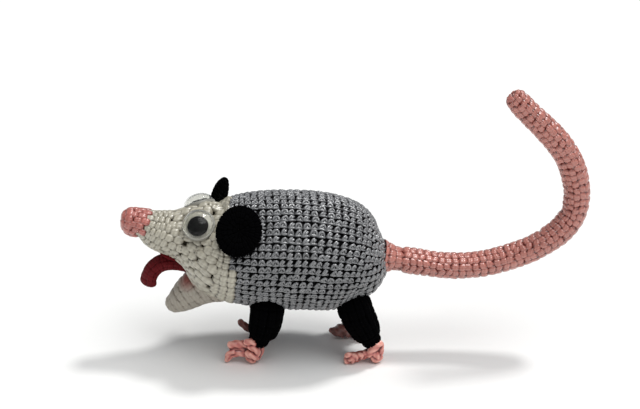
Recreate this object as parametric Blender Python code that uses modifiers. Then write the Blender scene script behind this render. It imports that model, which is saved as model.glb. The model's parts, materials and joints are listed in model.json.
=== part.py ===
"""A crocheted toy opossum: stuffed tubes of yarn, sewn on legs and ears, clear wiggle eyes.

The toy walks along X with its nose at -X and its tail at +X. Its own left side is -Y, and Z is up.
Sizes are in millimetres here and are turned to metres where a mesh is made.
"""

import math

import bmesh
import bpy
import numpy as np
from mathutils import Matrix, Vector

MM = 0.001
GAP = 0.3
WELD = 0.001
SLIVER = 0.02
SHARP_ANGLE = 40.0

# The body from the nose to the rump, as x, z and radius along its middle line.
BODY = [
    (-70.8, 56.8, 5.7),
    (-67.0, 56.1, 5.8),
    (-63.0, 54.2, 7.7),
    (-58.5, 52.7, 8.7),
    (-54.0, 51.6, 9.3),
    (-49.7, 50.3, 10.7),
    (-45.0, 48.6, 13.4),
    (-39.0, 46.2, 18.1),
    (-32.0, 45.3, 21.2),
    (-20.0, 45.2, 22.9),
    (-9.0, 44.9, 23.4),
    (1.0, 44.2, 23.3),
    (11.0, 43.0, 22.3),
    (17.5, 41.9, 19.9),
    (22.4, 41.0, 16.3),
    (26.1, 40.8, 12.1),
    (28.8, 41.0, 8.2),
    (30.3, 41.2, 4.6),
]
BODY_STEP = 3.8
BODY_SIDES = 28

# Where the pink of the nose and the grey of the back begin, and how far each seam leans from upright.
NOSE_SEAM = (-66.3, 56.0, 26.0)
NECK_SEAM = (-31.9, 45.3, -4.0)

JAW = [
    (-27.0, 35.4, 9.4),
    (-34.0, 33.6, 9.8),
    (-40.8, 31.6, 9.3),
    (-45.6, 28.6, 7.8),
    (-49.2, 25.6, 6.6),
    (-52.8, 22.5, 5.2),
    (-55.2, 20.5, 3.9),
]
JAW_WIDTH = 1.08
JAW_STEP = 2.6
JAW_SIDES = 24

TONGUE = [
    (-46.0, 36.4, 1.8),
    (-51.5, 38.0, 2.0),
    (-56.0, 39.0, 2.1),
    (-60.0, 38.5, 2.2),
    (-63.3, 36.2, 2.2),
    (-65.0, 33.2, 2.2),
    (-65.4, 31.2, 2.2),
]
TONGUE_WIDTH = 1.75
TONGUE_ROLL = 50.0
TONGUE_STEP = 2.4
TONGUE_SIDES = 16

# The two pads of lining inside the mouth: centre, slope and half sizes along, across and through.
LININGS = {
    "palate": ((-56.0, 41.6), -22.0, (6.6, 5.6, 2.4)),
    "jaw_lining": ((-52.6, 28.6), 48.0, (7.0, 5.4, 2.2)),
}

TAIL = [
    (27.6, 41.8),
    (34.0, 40.9),
    (43.0, 39.4),
    (54.0, 37.9),
    (66.5, 38.2),
    (78.0, 40.9),
    (89.3, 45.6),
    (98.9, 52.5),
    (104.0, 60.2),
    (104.9, 68.5),
    (103.2, 76.5),
    (99.7, 84.2),
    (93.9, 91.8),
    (86.4, 98.8),
    (80.0, 104.4),
    (76.0, 108.0),
]
TAIL_LENGTHS = ["tail_root", "tail_lower", "tail_bend", "tail_tip"]
TAIL_RADII = (5.0, 5.0, 5.0, 5.0, 4.4)
TAIL_STEP = 4.6
TAIL_FLARE = (2.2, 0.9, 0.1)

# A wiggle eye. The base sinks into its seat in the head, and the dome stands on the base.
EYE_RADIUS = 6.0
EYE_FLANGE = 0.4
EYE_BASE = 1.5
EYE_SEAT = 0.6
EYE_HEADROOM = 2.0
EYE_EDGE = 0.3
DOME_HEIGHT = 3.9
DOME_WALL = 0.5
DOME_ARC = 72.0
DOME_STEPS = 4
PUPIL_RADIUS = 4.0
PUPIL_THICKNESS = 0.6
PUPIL_EDGE = 0.15

# Each eye: the middle of its seat, the way it faces, and how far its loose pupil has slid down.
EYES = {
    "left": ((-45.2, -8.8, 58.8), (-0.12, -0.70, 0.70), 0.9),
    "right": ((-45.2, 6.6, 60.5), (-0.28, 0.52, 0.81), -0.8),
}

# Each ear: its middle, the way it faces, and half its width and height.
EAR_HALF_THICKNESS = 1.4
EAR_CUP = 0.011
EARS = {
    "left": ((-29.9, -17.9, 60.2), (-0.17, -0.79, 0.59), (9.4, 10.7)),
    "right": ((-37.9, 18.0, 58.5), (-0.916, 0.385, 0.177), (9.3, 10.4)),
}

# Each leg: hip, knee and ankle, the ball of its foot, then its toes as heading, reach, height at the
# root and at the tip, and radius.
LEGS = {
    "front_left": (
        [(-17.6, -9.8, 33.0), (-18.2, -11.8, 24.5), (-19.2, -11.8, 17.0), (-21.2, -11.6, 11.0)],
        (-22.4, -11.6, 5.9),
        [(176.0, 12.2, 6.8, 6.8, 1.8), (187.0, 13.4, 4.6, 1.4, 1.7), (262.0, 3.4, 3.6, 1.9, 2.3)],
    ),
    "front_right": (
        [(-17.6, 8.5, 33.0), (-18.0, 10.6, 24.5), (-18.8, 10.8, 17.0), (-20.0, 10.6, 11.0)],
        (-20.6, 10.4, 5.6),
        [(180.0, 9.4, 4.6, 6.0, 1.9), (60.0, 5.8, 3.6, 1.6, 1.9), (250.0, 3.4, 3.6, 1.9, 2.3)],
    ),
    "rear_left": (
        [(13.8, -10.0, 33.5), (17.2, -12.0, 23.0), (20.4, -11.9, 16.5), (23.6, -11.6, 10.6)],
        (25.3, -11.6, 5.6),
        [(187.0, 13.0, 4.4, 2.1, 2.4), (335.0, 3.8, 3.6, 1.8, 2.3), (120.0, 5.0, 3.6, 1.7, 1.9)],
    ),
    "rear_right": (
        [(13.6, 9.0, 33.5), (16.2, 10.8, 23.0), (18.6, 10.4, 16.5), (20.4, 9.8, 10.6)],
        (20.8, 9.6, 5.4),
        [(182.0, 13.0, 3.6, 2.4, 3.0), (20.0, 4.6, 3.6, 1.8, 2.2), (250.0, 4.0, 3.6, 1.7, 1.9)],
    ),
}
LEG_RADII = (6.3, 6.2, 5.7, 4.5)
LEG_STEP = 3.4
PALM = (4.6, 4.6, 4.4)
TOE_STEP = 2.6
TOE_KNUCKLE_DROP = 0.6
FLOOR_BLOCK = 100.0

# Colour and roughness of each material.
COLOURS = {
    "cream yarn": ((0.62, 0.60, 0.52), 0.65),
    "grey yarn": ((0.25, 0.26, 0.27), 0.45),
    "pink yarn": ((0.72, 0.27, 0.23), 0.55),
    "black yarn": ((0.008, 0.008, 0.010), 0.85),
    "red yarn": ((0.14, 0.008, 0.012), 0.75),
    "white plastic": ((0.70, 0.70, 0.67), 0.35),
    "clear plastic": ((0.90, 0.92, 0.92), 0.08),
    "black plastic": ((0.010, 0.010, 0.011), 0.40),
}

for old in list(bpy.data.objects):
    bpy.data.objects.remove(old, do_unlink=True)

parts = bpy.data.collections.new("toy_opossum")
cutters = bpy.data.collections.new("cutters")
bpy.context.scene.collection.children.link(parts)
bpy.context.scene.collection.children.link(cutters)


def yarn_or_plastic(colour):
    """A plain material of that colour, made once."""
    material = bpy.data.materials.get(colour)
    if material is None:
        material = bpy.data.materials.new(colour)
        material.use_nodes = True
        shader = material.node_tree.nodes["Principled BSDF"]
        rgb, roughness = COLOURS[colour]
        shader.inputs["Base Color"].default_value = (*rgb, 1.0)
        shader.inputs["Roughness"].default_value = roughness
        shader.inputs["Metallic"].default_value = 0.0
    return material


def as_object(name, mesh, colour):
    """The mesh as a part of that colour, or as a cutter where it has none."""
    made = bpy.data.objects.new(name, mesh)
    if colour is None:
        cutters.objects.link(made)
        made.hide_render = True
        made.display_type = "WIRE"
    else:
        mesh.materials.append(yarn_or_plastic(colour))
        parts.objects.link(made)
    return made


def smooth(mesh):
    mesh.shade_smooth()
    mesh.set_sharp_from_angle(angle=math.radians(SHARP_ANGLE))


def add_object(name, bm, colour=None):
    """An object from a shape built in millimetres."""
    bmesh.ops.scale(bm, vec=(MM, MM, MM), verts=bm.verts)
    mesh = bpy.data.meshes.new(name)
    bm.to_mesh(mesh)
    bm.free()
    smooth(mesh)
    return as_object(name, mesh, colour)


def through(points, per_span=24):
    """A smooth curve through the points, sampled closely."""
    p = np.array(points, dtype=float)
    p = np.vstack([2.0 * p[0] - p[1], p, 2.0 * p[-1] - p[-2]])
    samples = []
    for i in range(1, len(p) - 2):
        slope = p[i + 1] - p[i - 1]
        bend = 2.0 * p[i - 1] - 5.0 * p[i] + 4.0 * p[i + 1] - p[i + 2]
        twist = 3.0 * p[i] - p[i - 1] - 3.0 * p[i + 1] + p[i + 2]
        for t in np.linspace(0.0, 1.0, per_span, endpoint=False):
            samples.append(0.5 * (2.0 * p[i] + slope * t + bend * t**2 + twist * t**3))
    samples.append(p[-2])
    return np.array(samples)


def evenly(samples, step):
    """The same curve with its points about one step apart."""
    lengths = np.concatenate([[0.0], np.cumsum(np.linalg.norm(np.diff(samples, axis=0), axis=1))])
    count = max(2, round(lengths[-1] / step) + 1)
    wanted = np.linspace(0.0, lengths[-1], count)
    return np.array([np.interp(wanted, lengths, column) for column in samples.T]).T


def ball_end(last, before, steps):
    """Stations of a half ball past the last one, down to a hair's width."""
    way = np.array(last[:2]) - np.array(before[:2])
    way /= np.linalg.norm(way)
    radius = last[2]
    for k in range(1, steps + 1):
        turn = 0.5 * math.pi * k / (steps + 0.15)
        middle = np.array(last[:2]) + way * radius * math.sin(turn)
        yield (middle[0], middle[1], radius * math.cos(turn))


def rounded(stations, at_start=False, at_end=False, steps=4):
    """Stations with a half ball added past the named ends."""
    rows = [tuple(row) for row in stations]
    if at_end:
        rows += list(ball_end(rows[-1], rows[-2], steps))
    if at_start:
        rows = list(ball_end(rows[0], rows[1], steps))[::-1] + rows
    return rows


def loft(stations, sides, width=1.0, grow=0.0, roll=0.0):
    """Oval rings round a path in the XZ plane, skinned and closed at both ends."""
    rows = np.array(stations)
    ways = np.gradient(rows[:, :2], axis=0)
    bm = bmesh.new()
    rings = []
    for (x, z, radius), (dx, dz) in zip(rows, ways):
        rolled = Matrix.Rotation(math.radians(roll), 3, Vector((-dx, 0.0, -dz)))
        up = rolled @ Vector((dz, 0.0, -dx)).normalized()
        side = rolled @ Vector((0.0, 1.0, 0.0))
        ring = []
        for k in range(sides):
            turn = 2.0 * math.pi * k / sides
            offset = up * (radius + grow) * math.sin(turn) + side * (radius * width + grow) * math.cos(turn)
            ring.append(bm.verts.new(Vector((x, 0.0, z)) + offset))
        rings.append(ring)
    for a, b in zip(rings, rings[1:]):
        for k in range(sides):
            n = (k + 1) % sides
            bm.faces.new((a[k], a[n], b[n], b[k]))
    bm.faces.new(rings[0][::-1])
    bm.faces.new(rings[-1])
    bmesh.ops.recalc_face_normals(bm, faces=bm.faces)
    return bm


def cut_off(bm, point, normal):
    """Remove what lies past the point along the normal, with half a gap more, and close the cut."""
    normal = Vector(normal).normalized()
    inside = Vector(point) - normal * (0.5 * GAP)
    geometry = bm.verts[:] + bm.edges[:] + bm.faces[:]
    cut = bmesh.ops.bisect_plane(bm, geom=geometry, plane_co=inside, plane_no=normal, clear_outer=True)
    rim = [edge for edge in cut["geom_cut"] if isinstance(edge, bmesh.types.BMEdge)]
    bmesh.ops.edgeloop_fill(bm, edges=rim)
    bmesh.ops.recalc_face_normals(bm, faces=bm.faces)
    return bm


def keep_side(bm, seam, direction):
    """Part the body at a seam and keep its nose side (-1) or its tail side (+1)."""
    x, z, lean = seam
    across = Vector((math.cos(math.radians(lean)), 0.0, -math.sin(math.radians(lean))))
    return cut_off(bm, (x, 0.0, z), across * -direction)


def boolean(target, tool, operation="DIFFERENCE"):
    modifier = target.modifiers.new(tool.name, "BOOLEAN")
    modifier.object = tool
    modifier.operation = operation
    modifier.solver = "EXACT"


def closed_bodies(bm):
    """The sets of faces that hang together."""
    unseen = set(bm.faces)
    bodies = []
    while unseen:
        seed = unseen.pop()
        body, front = {seed}, [seed]
        while front:
            face = front.pop()
            for edge in face.edges:
                for other in edge.link_faces:
                    if other in unseen:
                        unseen.discard(other)
                        body.add(other)
                        front.append(other)
        bodies.append(body)
    return bodies


def settle(made):
    """Apply the cuts and keep only the largest closed body."""
    graph = bpy.context.evaluated_depsgraph_get()
    mesh = bpy.data.meshes.new_from_object(made.evaluated_get(graph))
    bm = bmesh.new()
    bm.from_mesh(mesh)
    bmesh.ops.remove_doubles(bm, verts=bm.verts, dist=SLIVER * MM)
    largest = max(closed_bodies(bm), key=lambda body: sum(face.calc_area() for face in body))
    scraps = [face for face in bm.faces if face not in largest]
    bmesh.ops.delete(bm, geom=scraps, context="FACES")
    made.modifiers.clear()
    bm.to_mesh(mesh)
    bm.free()
    smooth(mesh)
    made.data = mesh


def turned(name, profile, colour, segments=28):
    """A profile of radius and height turned about its own Z."""
    bm = bmesh.new()
    corners = [bm.verts.new((radius * MM, 0.0, height * MM)) for radius, height in profile]
    for a, b in zip(corners, corners[1:]):
        bm.edges.new((a, b))
    mesh = bpy.data.meshes.new(name)
    bm.to_mesh(mesh)
    bm.free()
    made = as_object(name, mesh, colour)
    screw = made.modifiers.new("turn", "SCREW")
    screw.steps = segments
    screw.render_steps = segments
    screw.use_merge_vertices = True
    screw.merge_threshold = WELD * MM
    screw.use_smooth_shade = True
    return made


def stand(made, place, normal, spin=0.0):
    """Put a turned piece at a place, with its own Z along the normal."""
    facing = Vector(normal).normalized().to_track_quat("Z", "Y")
    made.rotation_mode = "QUATERNION"
    made.rotation_quaternion = facing @ Matrix.Rotation(math.radians(spin), 3, "Z").to_quaternion()
    made.location = Vector(place) * MM


def disc_profile(radius, thickness, edge):
    """A flat disc from z = 0 up, with its edges broken."""
    return [
        (0.0, thickness),
        (radius - edge, thickness),
        (radius, thickness - edge),
        (radius, edge),
        (radius - edge, 0.0),
        (0.0, 0.0),
    ]


def dome_arc(radius, height):
    """Points of an oval quarter from its rim up, stopping short of the crown."""
    points = []
    for k in range(DOME_STEPS + 1):
        turn = math.radians(DOME_ARC * k / DOME_STEPS)
        points.append((radius * math.cos(turn), height * math.sin(turn)))
    return points


def tube(points, radii, resolution=4):
    """A round tube through the points, made a mesh with its caps welded."""
    curve = bpy.data.curves.new("tube", "CURVE")
    curve.dimensions = "3D"
    curve.bevel_depth = MM
    curve.bevel_resolution = resolution
    curve.use_fill_caps = True
    spline = curve.splines.new("POLY")
    spline.points.add(len(points) - 1)
    for point, place, radius in zip(spline.points, points, radii):
        point.co = (*(Vector(place) * MM), 1.0)
        point.radius = radius
    made = bpy.data.objects.new("tube", curve)
    parts.objects.link(made)
    graph = bpy.context.evaluated_depsgraph_get()
    mesh = bpy.data.meshes.new_from_object(made.evaluated_get(graph))
    bpy.data.objects.remove(made, do_unlink=True)
    bm = bmesh.new()
    bm.from_mesh(mesh)
    bmesh.ops.remove_doubles(bm, verts=bm.verts, dist=WELD * MM)
    bmesh.ops.recalc_face_normals(bm, faces=bm.faces)
    bmesh.ops.scale(bm, vec=(1.0 / MM, 1.0 / MM, 1.0 / MM), verts=bm.verts)
    return bm


def tapering(places, radii, step, tip):
    """Even points along a tube and their radii, with its last end rounded off in so many steps."""
    rows = evenly(through([(*place, radius) for place, radius in zip(places, radii)]), step)
    way = rows[-1][:3] - rows[-2][:3]
    way /= np.linalg.norm(way)
    last, end_radius = rows[-1][:3], rows[-1][3]
    for k in range(1, tip + 1):
        turn = 0.5 * math.pi * k / (tip + 0.3)
        middle = last + way * end_radius * math.sin(turn)
        rows = np.vstack([rows, (*middle, end_radius * math.cos(turn))])
    return [tuple(row[:3]) for row in rows], [row[3] for row in rows]


def make_body():
    """The nose, the head and the torso, parted from one loft, and a cutter of its whole shape."""
    stations = rounded(evenly(through(BODY), BODY_STEP), at_start=True)
    head = keep_side(loft(stations, BODY_SIDES), NECK_SEAM, -1)
    add_object("head", keep_side(head, NOSE_SEAM, 1), "cream yarn")
    add_object("torso", keep_side(loft(stations, BODY_SIDES), NECK_SEAM, 1), "grey yarn")
    add_object("nose", keep_side(loft(stations, BODY_SIDES), NOSE_SEAM, -1), "pink yarn")
    return add_object("body_room", loft(stations, BODY_SIDES, grow=GAP))


def make_mouth(body_room):
    """The open lower jaw, the tongue hanging over it and the red lining above and below."""
    jaw_shape = dict(
        stations=rounded(evenly(through(JAW), JAW_STEP), at_end=True), sides=JAW_SIDES, width=JAW_WIDTH
    )
    jaw = add_object("lower_jaw", loft(**jaw_shape), "cream yarn")
    boolean(jaw, body_room)
    settle(jaw)
    jaw_room = add_object("jaw_room", loft(**jaw_shape, grow=GAP))

    tongue_shape = dict(
        stations=rounded(evenly(through(TONGUE), TONGUE_STEP), at_end=True, steps=3),
        sides=TONGUE_SIDES,
        width=TONGUE_WIDTH,
        roll=TONGUE_ROLL,
    )
    tongue = add_object("tongue", loft(**tongue_shape), "red yarn")
    tongue_room = add_object("tongue_room", loft(**tongue_shape, grow=GAP))
    for room in (body_room, jaw_room):
        boolean(tongue, room)
    settle(tongue)

    for name, ((x, z), slope, halves) in LININGS.items():
        bm = bmesh.new()
        bmesh.ops.create_uvsphere(bm, u_segments=24, v_segments=12, radius=1.0)
        bmesh.ops.scale(bm, vec=halves, verts=bm.verts)
        place = Matrix.Translation((x, 0.0, z)) @ Matrix.Rotation(math.radians(-slope), 4, "Y")
        bmesh.ops.transform(bm, matrix=place, verts=bm.verts)
        pad = add_object(name, bm, "red yarn")
        for room in (body_room, jaw_room, tongue_room):
            boolean(pad, room)
        settle(pad)


def make_tail(body_room):
    """One bent tube, parted into lengths by thin cuts across it."""
    path = evenly(through([(x, 0.0, z) for x, z in TAIL]), TAIL_STEP)
    share = np.linspace(0.0, 1.0, len(path))
    radii = np.interp(share, np.linspace(0.0, 1.0, len(TAIL_RADII)), TAIL_RADII)
    radii[: len(TAIL_FLARE)] += TAIL_FLARE
    points, radii = tapering(path, radii, TAIL_STEP, tip=4)
    cuts = [round(k * (len(path) - 1) / len(TAIL_LENGTHS)) for k in range(1, len(TAIL_LENGTHS))]
    ways = [Vector(path[at + 1] - path[at - 1]) for at in cuts]
    for k, name in enumerate(TAIL_LENGTHS):
        bm = tube(points, radii)
        if k > 0:
            cut_off(bm, path[cuts[k - 1]], -ways[k - 1])
        if k < len(cuts):
            cut_off(bm, path[cuts[k]], ways[k])
        made = add_object(name, bm, "pink yarn")
        if k == 0:
            boolean(made, body_room)
        settle(made)


def make_eye(side, place, normal, slide):
    """A wiggle eye: a flanged white back, a clear open dome and a loose black disc inside it."""
    out = Vector(normal).normalized()
    seat = Vector(place)
    rim = EYE_RADIUS + EYE_FLANGE
    base = turned("eye_base_" + side, disc_profile(rim, EYE_BASE, EYE_EDGE), "white plastic")
    stand(base, seat - out * EYE_SEAT, out)
    room_profile = disc_profile(rim + GAP, EYE_BASE + EYE_HEADROOM, EYE_EDGE)
    room = turned("eye_room_" + side, room_profile, None)
    stand(room, seat - out * (EYE_SEAT + GAP), out)
    boolean(bpy.data.objects["head"], room)

    on_base = EYE_BASE - EYE_SEAT + GAP
    outer = [(0.0, DOME_HEIGHT)] + dome_arc(EYE_RADIUS, DOME_HEIGHT)[::-1]
    inner_height = DOME_HEIGHT - DOME_WALL
    inner = dome_arc(EYE_RADIUS - DOME_WALL, inner_height) + [(0.0, inner_height)]
    dome = turned("eye_dome_" + side, outer + inner, "clear plastic")
    stand(dome, seat + out * on_base, out)

    pupil_profile = disc_profile(PUPIL_RADIUS, PUPIL_THICKNESS, PUPIL_EDGE)
    pupil = turned("eye_pupil_" + side, pupil_profile, "black plastic")
    down = (Vector((0.0, 0.0, -1.0)) + out * out.z).normalized()
    stand(pupil, seat + out * on_base + down * slide, out)


def make_ear(side, place, normal, halves, body_room):
    """A crocheted disc, cupped towards the head and cut where it is sewn down."""
    width, height = halves
    half = EAR_HALF_THICKNESS

    def cupped(radius, level):
        return (radius, level - EAR_CUP * radius * radius)

    flat = height - half
    upper = [cupped(flat * k / 2, half) for k in range(3)]
    rim = [cupped(flat + half * math.sin(a), half * math.cos(a)) for a in np.radians([30, 60, 90, 120, 150])]
    lower = [cupped(flat * k / 2, -half) for k in range(2, -1, -1)]
    ear = turned("ear_" + side, upper + rim + lower, "black yarn")
    stand(ear, place, normal, spin=90.0)
    ear.scale = (1.0, width / height, 1.0)
    boolean(ear, body_room)
    boolean(ear, bpy.data.objects["eye_room_" + side])
    bpy.context.view_layer.update()
    settle(ear)


def make_legs(body_room):
    """Each leg as a tapering tube under the body, with its foot below."""
    block = bmesh.new()
    bmesh.ops.create_cube(block, size=FLOOR_BLOCK)
    bmesh.ops.translate(block, vec=(0.0, 0.0, -0.5 * FLOOR_BLOCK), verts=block.verts)
    under_feet = add_object("under_feet", block)
    for name, (places, ball, toes) in LEGS.items():
        points, radii = tapering(places, LEG_RADII, LEG_STEP, tip=3)
        leg = add_object("leg_" + name, tube(points, radii, resolution=6), "black yarn")
        boolean(leg, body_room)
        settle(leg)
        grown = [radius + GAP for radius in radii]
        leg_room = add_object("leg_room_" + name, tube(points, grown, resolution=6))
        make_foot(name, ball, toes, leg_room, under_feet)


def make_foot(name, ball, toes, leg_room, under_feet):
    """A ball of yarn under the leg with its toes, fused and cut flat on the floor."""
    x, y, z = ball
    bm = bmesh.new()
    bmesh.ops.create_uvsphere(bm, u_segments=14, v_segments=8, radius=1.0)
    bmesh.ops.scale(bm, vec=PALM, verts=bm.verts)
    bmesh.ops.translate(bm, vec=(x, y, z), verts=bm.verts)
    foot = add_object("foot_" + name, bm, "pink yarn")
    pieces = []
    for k, (heading, reach, root_height, tip_height, radius) in enumerate(toes):
        way = Vector((math.cos(math.radians(heading)), math.sin(math.radians(heading)), 0.0))
        root = Vector((x, y, root_height))
        knuckle = root + way * (0.5 * reach)
        knuckle.z += TOE_KNUCKLE_DROP * (tip_height - root_height)
        tip = Vector((x, y, tip_height)) + way * (reach - radius)
        points, radii = tapering([root, knuckle, tip], [radius] * 3, TOE_STEP, tip=3)
        pieces.append(add_object(f"toe_{name}_{k}", tube(points, radii, resolution=2)))
    for piece in pieces:
        boolean(foot, piece, "UNION")
    boolean(foot, leg_room)
    boolean(foot, under_feet)
    settle(foot)
    for piece in pieces:
        bpy.data.objects.remove(piece, do_unlink=True)


def centre_on_floor():
    """Hang every part on one empty, moved so that the toy's box stands centred on the origin."""
    bpy.context.view_layer.update()
    graph = bpy.context.evaluated_depsgraph_get()
    corners = []
    for made in parts.objects:
        seen = made.evaluated_get(graph)
        corners += [seen.matrix_world @ Vector(corner) for corner in seen.bound_box]
    low = [min(corner[axis] for corner in corners) for axis in range(3)]
    high = [max(corner[axis] for corner in corners) for axis in range(3)]
    frame = bpy.data.objects.new("toy_frame", None)
    for made in [*parts.objects, *cutters.objects]:
        made.parent = frame
    parts.objects.link(frame)
    frame.location = (-0.5 * (low[0] + high[0]), -0.5 * (low[1] + high[1]), -low[2])


body_room = make_body()
make_mouth(body_room)
make_tail(body_room)
for side, (place, normal, slide) in EYES.items():
    make_eye(side, place, normal, slide)
for side, (place, normal, halves) in EARS.items():
    make_ear(side, place, normal, halves, body_room)
make_legs(body_room)
centre_on_floor()
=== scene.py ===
"""The crocheted toy opossum as it looks: stuffed skins covered stitch by stitch, clear wiggle eyes.

Sizes are in millimetres in the toy's own frame, which walks along X with its nose at -X and the side
that shows at -Y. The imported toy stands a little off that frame, so toy_shift() reads where it is.
"""

import json
import math

import bmesh
import bpy
import numpy as np
from mathutils import Matrix, Vector

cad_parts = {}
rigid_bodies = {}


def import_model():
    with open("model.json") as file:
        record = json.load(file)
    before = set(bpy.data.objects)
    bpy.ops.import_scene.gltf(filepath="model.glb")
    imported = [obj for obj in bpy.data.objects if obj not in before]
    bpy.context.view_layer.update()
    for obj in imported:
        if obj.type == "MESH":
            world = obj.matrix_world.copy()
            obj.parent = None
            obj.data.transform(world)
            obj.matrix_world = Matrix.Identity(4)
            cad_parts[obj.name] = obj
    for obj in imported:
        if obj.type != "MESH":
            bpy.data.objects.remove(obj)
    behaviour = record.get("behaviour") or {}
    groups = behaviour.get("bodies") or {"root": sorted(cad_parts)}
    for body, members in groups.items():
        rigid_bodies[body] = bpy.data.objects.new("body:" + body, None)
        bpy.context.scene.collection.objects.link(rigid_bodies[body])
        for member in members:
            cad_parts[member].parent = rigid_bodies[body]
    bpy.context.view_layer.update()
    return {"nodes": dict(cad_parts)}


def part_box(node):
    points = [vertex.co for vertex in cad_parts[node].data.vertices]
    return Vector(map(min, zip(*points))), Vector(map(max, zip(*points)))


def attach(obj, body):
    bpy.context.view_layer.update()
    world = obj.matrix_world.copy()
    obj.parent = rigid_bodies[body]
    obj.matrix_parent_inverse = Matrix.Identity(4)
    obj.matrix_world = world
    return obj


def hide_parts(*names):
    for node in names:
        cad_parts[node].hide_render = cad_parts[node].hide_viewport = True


MM = 0.001

# The body from the nose to the rump, as x, z and radius along its middle line.
BODY = [
    (-70.8, 56.8, 5.7), (-67.0, 56.1, 5.8), (-63.0, 54.2, 7.7), (-58.5, 52.7, 8.7), (-54.0, 51.6, 9.3),
    (-49.7, 50.3, 10.7), (-45.0, 48.6, 13.4), (-39.0, 46.2, 18.1), (-32.0, 45.3, 21.2), (-20.0, 45.2, 22.9),
    (-9.0, 44.9, 23.4), (1.0, 44.2, 23.3), (11.0, 43.0, 22.3), (17.5, 41.9, 19.9), (22.4, 41.0, 16.3),
    (26.1, 40.8, 12.1), (28.8, 41.0, 8.2), (30.3, 41.2, 4.6),
]

# Where the yarn changes colour: x, z and lean from upright, in degrees.
NOSE_SEAM = (-66.7, 56.0, 33.0)
NECK_SEAM = (-32.8, 45.3, -1.0)

JAW = [
    (-27.0, 35.4, 9.4), (-34.0, 33.6, 9.8), (-40.8, 31.6, 9.3), (-45.6, 28.6, 7.8), (-49.2, 25.6, 6.6),
    (-52.8, 22.5, 5.2), (-55.2, 20.5, 3.9),
]
JAW_WIDTH = 1.08

TONGUE = [
    (-46.0, 36.6, 1.9), (-51.5, 38.2, 2.3), (-56.0, 39.2, 2.6), (-60.0, 38.8, 2.7), (-63.5, 36.4, 2.7),
    (-65.3, 33.2, 2.6), (-65.8, 30.8, 2.6),
]
TONGUE_WIDTH = 1.75
TONGUE_ROLL = 50.0

TAIL = [
    (27.6, 41.8), (34.0, 40.9), (43.0, 39.4), (54.0, 37.9), (66.5, 38.2), (78.0, 40.9), (89.3, 45.6),
    (98.9, 52.5), (104.0, 60.2), (104.9, 68.5), (103.2, 76.5), (99.7, 84.2), (93.9, 91.8), (86.4, 98.8),
    (80.0, 104.4), (76.0, 108.0),
]
TAIL_RADII = (5.0, 5.0, 5.0, 5.0, 4.4)
TAIL_FLARE = (3.2, 1.2, 0.1)
TAIL_FLARE_STEP = 4.6

# The yarn's end is knotted off at the tip of the tail.
TIP_KNOT = [(77.4, -1.2, 107.6), (75.4, -1.8, 108.6), (73.6, -1.8, 108.6), (72.4, -1.2, 107.8)]
KNOT_RADIUS = 1.25

# A wiggle eye: each has the middle of its seat, the way it faces and how far its pupil has slid down.
EYE_RADIUS = 6.0
EYE_FLANGE = 0.4
EYE_BASE = 1.5
EYE_SEAT = 0.6
EYE_GAP = 0.3
DOME_HEIGHT = 3.9
DOME_WALL = 0.5
PUPIL_RADIUS = 4.0
PUPIL_THICKNESS = 0.6
EYE_EDGE = 0.3
PUPIL_EDGE = 0.15
DOME_LIP = 0.04
# The groove under the dome's wall, as how far in from the dome and how deep.
EYE_GROOVE = [(1.2, 0.0), (1.0, 0.12), (0.5, 0.12), (0.3, 0.0)]
EYES = {
    "left": ((-45.2, -8.8, 58.8), (-0.12, -0.70, 0.70), 0.9),
    "right": ((-45.2, 6.6, 60.5), (-0.28, 0.52, 0.81), -0.8),
}

# Each ear: its middle, the way it faces, and half its width and height.
EAR_HALF_THICKNESS = 1.4
EAR_CUP = 0.011
EARS = {
    "left": ((-29.9, -17.9, 60.2), (-0.17, -0.79, 0.59), (9.4, 10.7)),
    "right": ((-37.9, 18.0, 58.5), (-0.916, 0.385, 0.177), (9.3, 10.4)),
}

# Each leg: its line from hip to ankle, and the ball of its foot.
LEGS = {
    "front_left": (
        [(-17.6, -9.8, 33.0), (-18.2, -11.8, 24.5), (-19.2, -11.8, 17.0), (-21.2, -11.6, 11.0)],
        (-22.4, -11.6, 5.9),
    ),
    "front_right": (
        [(-17.6, 8.5, 33.0), (-18.0, 10.6, 24.5), (-18.8, 10.8, 17.0), (-20.0, 10.6, 11.0)],
        (-20.6, 10.4, 5.6),
    ),
    "rear_left": (
        [(13.8, -10.0, 33.5), (17.2, -12.0, 23.0), (20.4, -11.9, 16.5), (23.6, -11.6, 10.6)],
        (25.3, -11.6, 5.6),
    ),
    "rear_right": (
        [(13.6, 9.0, 33.5), (16.2, 10.8, 23.0), (18.6, 10.4, 16.5), (20.4, 9.8, 10.6)],
        (20.8, 9.6, 5.4),
    ),
}
LEG_RADII = (6.3, 6.2, 5.7, 4.5)

# Where the head is stuffed fuller behind and between the eyes: middle, height and reach.
BROW = [((-39.0, 3.4, 64.8), 3.2, 4.4), ((-45.0, -0.4, 64.0), 6.4, 3.4), ((-50.0, 0.8, 61.6), 2.4, 2.6)]

# The stuffing lies this far under the tops of the stitches.
STUFFING_DEPTH = 1.15

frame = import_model()


def downhill(out):
    """The way down along the face of an eye that looks out this way."""
    return (Vector((0.0, 0.0, -1.0)) + out * out.z).normalized()


def toy_shift():
    """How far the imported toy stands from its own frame, read off one pupil."""
    place, normal, slide = EYES["left"]
    out = Vector(normal).normalized()
    height = EYE_BASE - EYE_SEAT + EYE_GAP + 0.5 * PUPIL_THICKNESS
    here = Vector(place) + out * height + downhill(out) * slide
    low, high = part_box("eye_pupil_left")
    return np.array((low + high) * 0.5 / MM - here)


SHIFT = toy_shift()


def world(points):
    """Millimetres in the toy's frame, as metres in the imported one."""
    return (np.asarray(points, dtype=float) + SHIFT) * MM


def linear(hex_colour):
    """An sRGB hex colour as the linear values that a shader takes."""
    parts = [int(hex_colour[k : k + 2], 16) / 255.0 for k in (1, 3, 5)]
    return (*[c / 12.92 if c <= 0.04045 else ((c + 0.055) / 1.055) ** 2.4 for c in parts], 1.0)


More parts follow.
